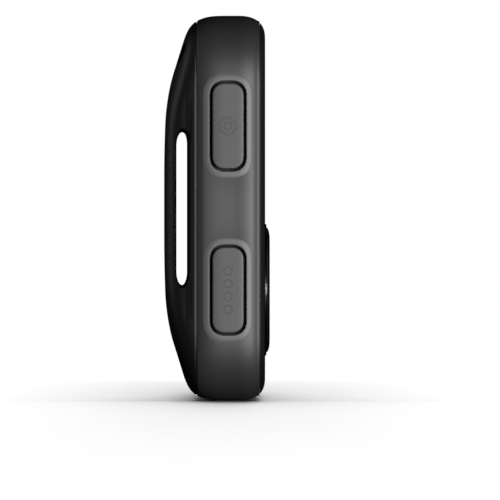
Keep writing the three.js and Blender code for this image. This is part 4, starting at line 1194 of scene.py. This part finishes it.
def floor_height(x):
    """The floor's height: a rise behind the device, level under it, then a bend and a straight slope."""
    beyond = -FALL_START - x
    if x > RISE_START:
        share = min(1, (x - RISE_START) / RISE_LENGTH)
        return RISE * share**2 * (3 - 2 * share)
    if beyond <= 0:
        return 0.0
    bend = FALL_RADIUS * math.sin(FALL_ANGLE)
    if beyond < bend:
        return math.sqrt(FALL_RADIUS**2 - beyond**2) - FALL_RADIUS
    return FALL_RADIUS * (math.cos(FALL_ANGLE) - 1) - (beyond - bend) * math.tan(FALL_ANGLE)


floor_shape = bmesh.new()
columns = [-FLOOR_REACH] + spread(-FALL_START - FALL_RADIUS * math.sin(FALL_ANGLE), -FALL_START, 24)
columns += spread(RISE_START, RISE_START + RISE_LENGTH, 16) + [FLOOR_REACH]
lines = []
for x in columns:
    lines.append([floor_shape.verts.new((x, y, floor_height(x) - 0.02)) for y in (-FLOOR_REACH, FLOOR_REACH)])
for one, other in zip(lines, lines[1:]):
    floor_shape.faces.new((one[0], one[1], other[1], other[0]))
floor = make_piece("floor", floor_shape)
paper = moulded("pale_paper", "#e9e9e9", "#ececec", 0.9, grain=1.5, grain_height=0.0)
floor.data.materials.append(paper)
floor.visible_diffuse = False
floor.visible_glossy = False

# %% [markdown]
# ## Light
#
# The side is lit by one low softbox, from the front of the device and a little round from the camera, so
# the satin band shows a broad sheen that fades where it turns away, and darkens at both ends of the case. A
# weak wide fill keeps the black shells from going flat. Soft lamps light the front, the back and the band's
# far side for the other views. Two wide suns light only the table, and give the soft shadow round the foot.


# %% Lamps
def lamp(name, azimuth, elevation, distance, width, height, power, only=None, aim=(0, 0, 35)):
    """A rectangular lamp. Azimuth 0 is in front of the device and 270 at the camera. only is a collection."""
    data = bpy.data.lights.new(name, "AREA")
    data.shape = "RECTANGLE"
    data.size = width * MM
    data.size_y = height * MM
    data.energy = power
    light = bpy.data.objects.new(name, data)
    turn, lift = math.radians(azimuth), math.radians(elevation)
    direction = (math.sin(turn) * math.cos(lift), -math.cos(turn) * math.cos(lift), math.sin(lift))
    light.location = [(a + distance * d) * MM for a, d in zip(aim, direction)]
    light.rotation_euler = (math.radians(90) - lift, 0, turn)
    bpy.context.scene.collection.objects.link(light)
    if only:
        light.light_linking.receiver_collection = only
    return light


table_only = bpy.data.collections.new("table_only")
table_only.objects.link(floor)
device_only = bpy.data.collections.new("device_only")
band_only = bpy.data.collections.new("band_only")
for piece in bpy.data.objects:
    if piece.type == "MESH" and piece.name != "floor":
        device_only.objects.link(piece)
    if piece.name.endswith(("side_band", "_boot", "_cap", "_mark", "door_leaf")):
        band_only.objects.link(piece)

lamp("key", 296, 0, 600, 440, 180, 5.75, device_only)
lamp("fill", 262, 0, 900, 900, 900, 0.2, device_only)
lamp("front_soft", 20, 8, 800, 500, 500, 0.18, device_only)
lamp("right_soft", 92, 0, 700, 450, 200, 2.2, band_only)
lamp("back_soft", 165, 15, 800, 500, 500, 0.8, device_only)


def table_light(name, energy, angle):
    """A wide sun straight over the table, which lights the table only."""
    data = bpy.data.lights.new(name, "SUN")
    data.energy = energy
    data.angle = math.radians(angle)
    light = bpy.data.objects.new(name, data)
    light.location = (0, 0, 0.6)
    bpy.context.scene.collection.objects.link(light)
    light.light_linking.receiver_collection = table_only


table_light("table_sky", 0.9, 160)
table_light("table_lamp", 3.2, 66)

world = bpy.data.worlds.new("white_room")
world.use_nodes = True
world.node_tree.nodes["Background"].inputs["Color"].default_value = (1, 1, 1, 1)
world.cycles_visibility.diffuse = False
world.cycles_visibility.glossy = False
bpy.context.scene.world = world
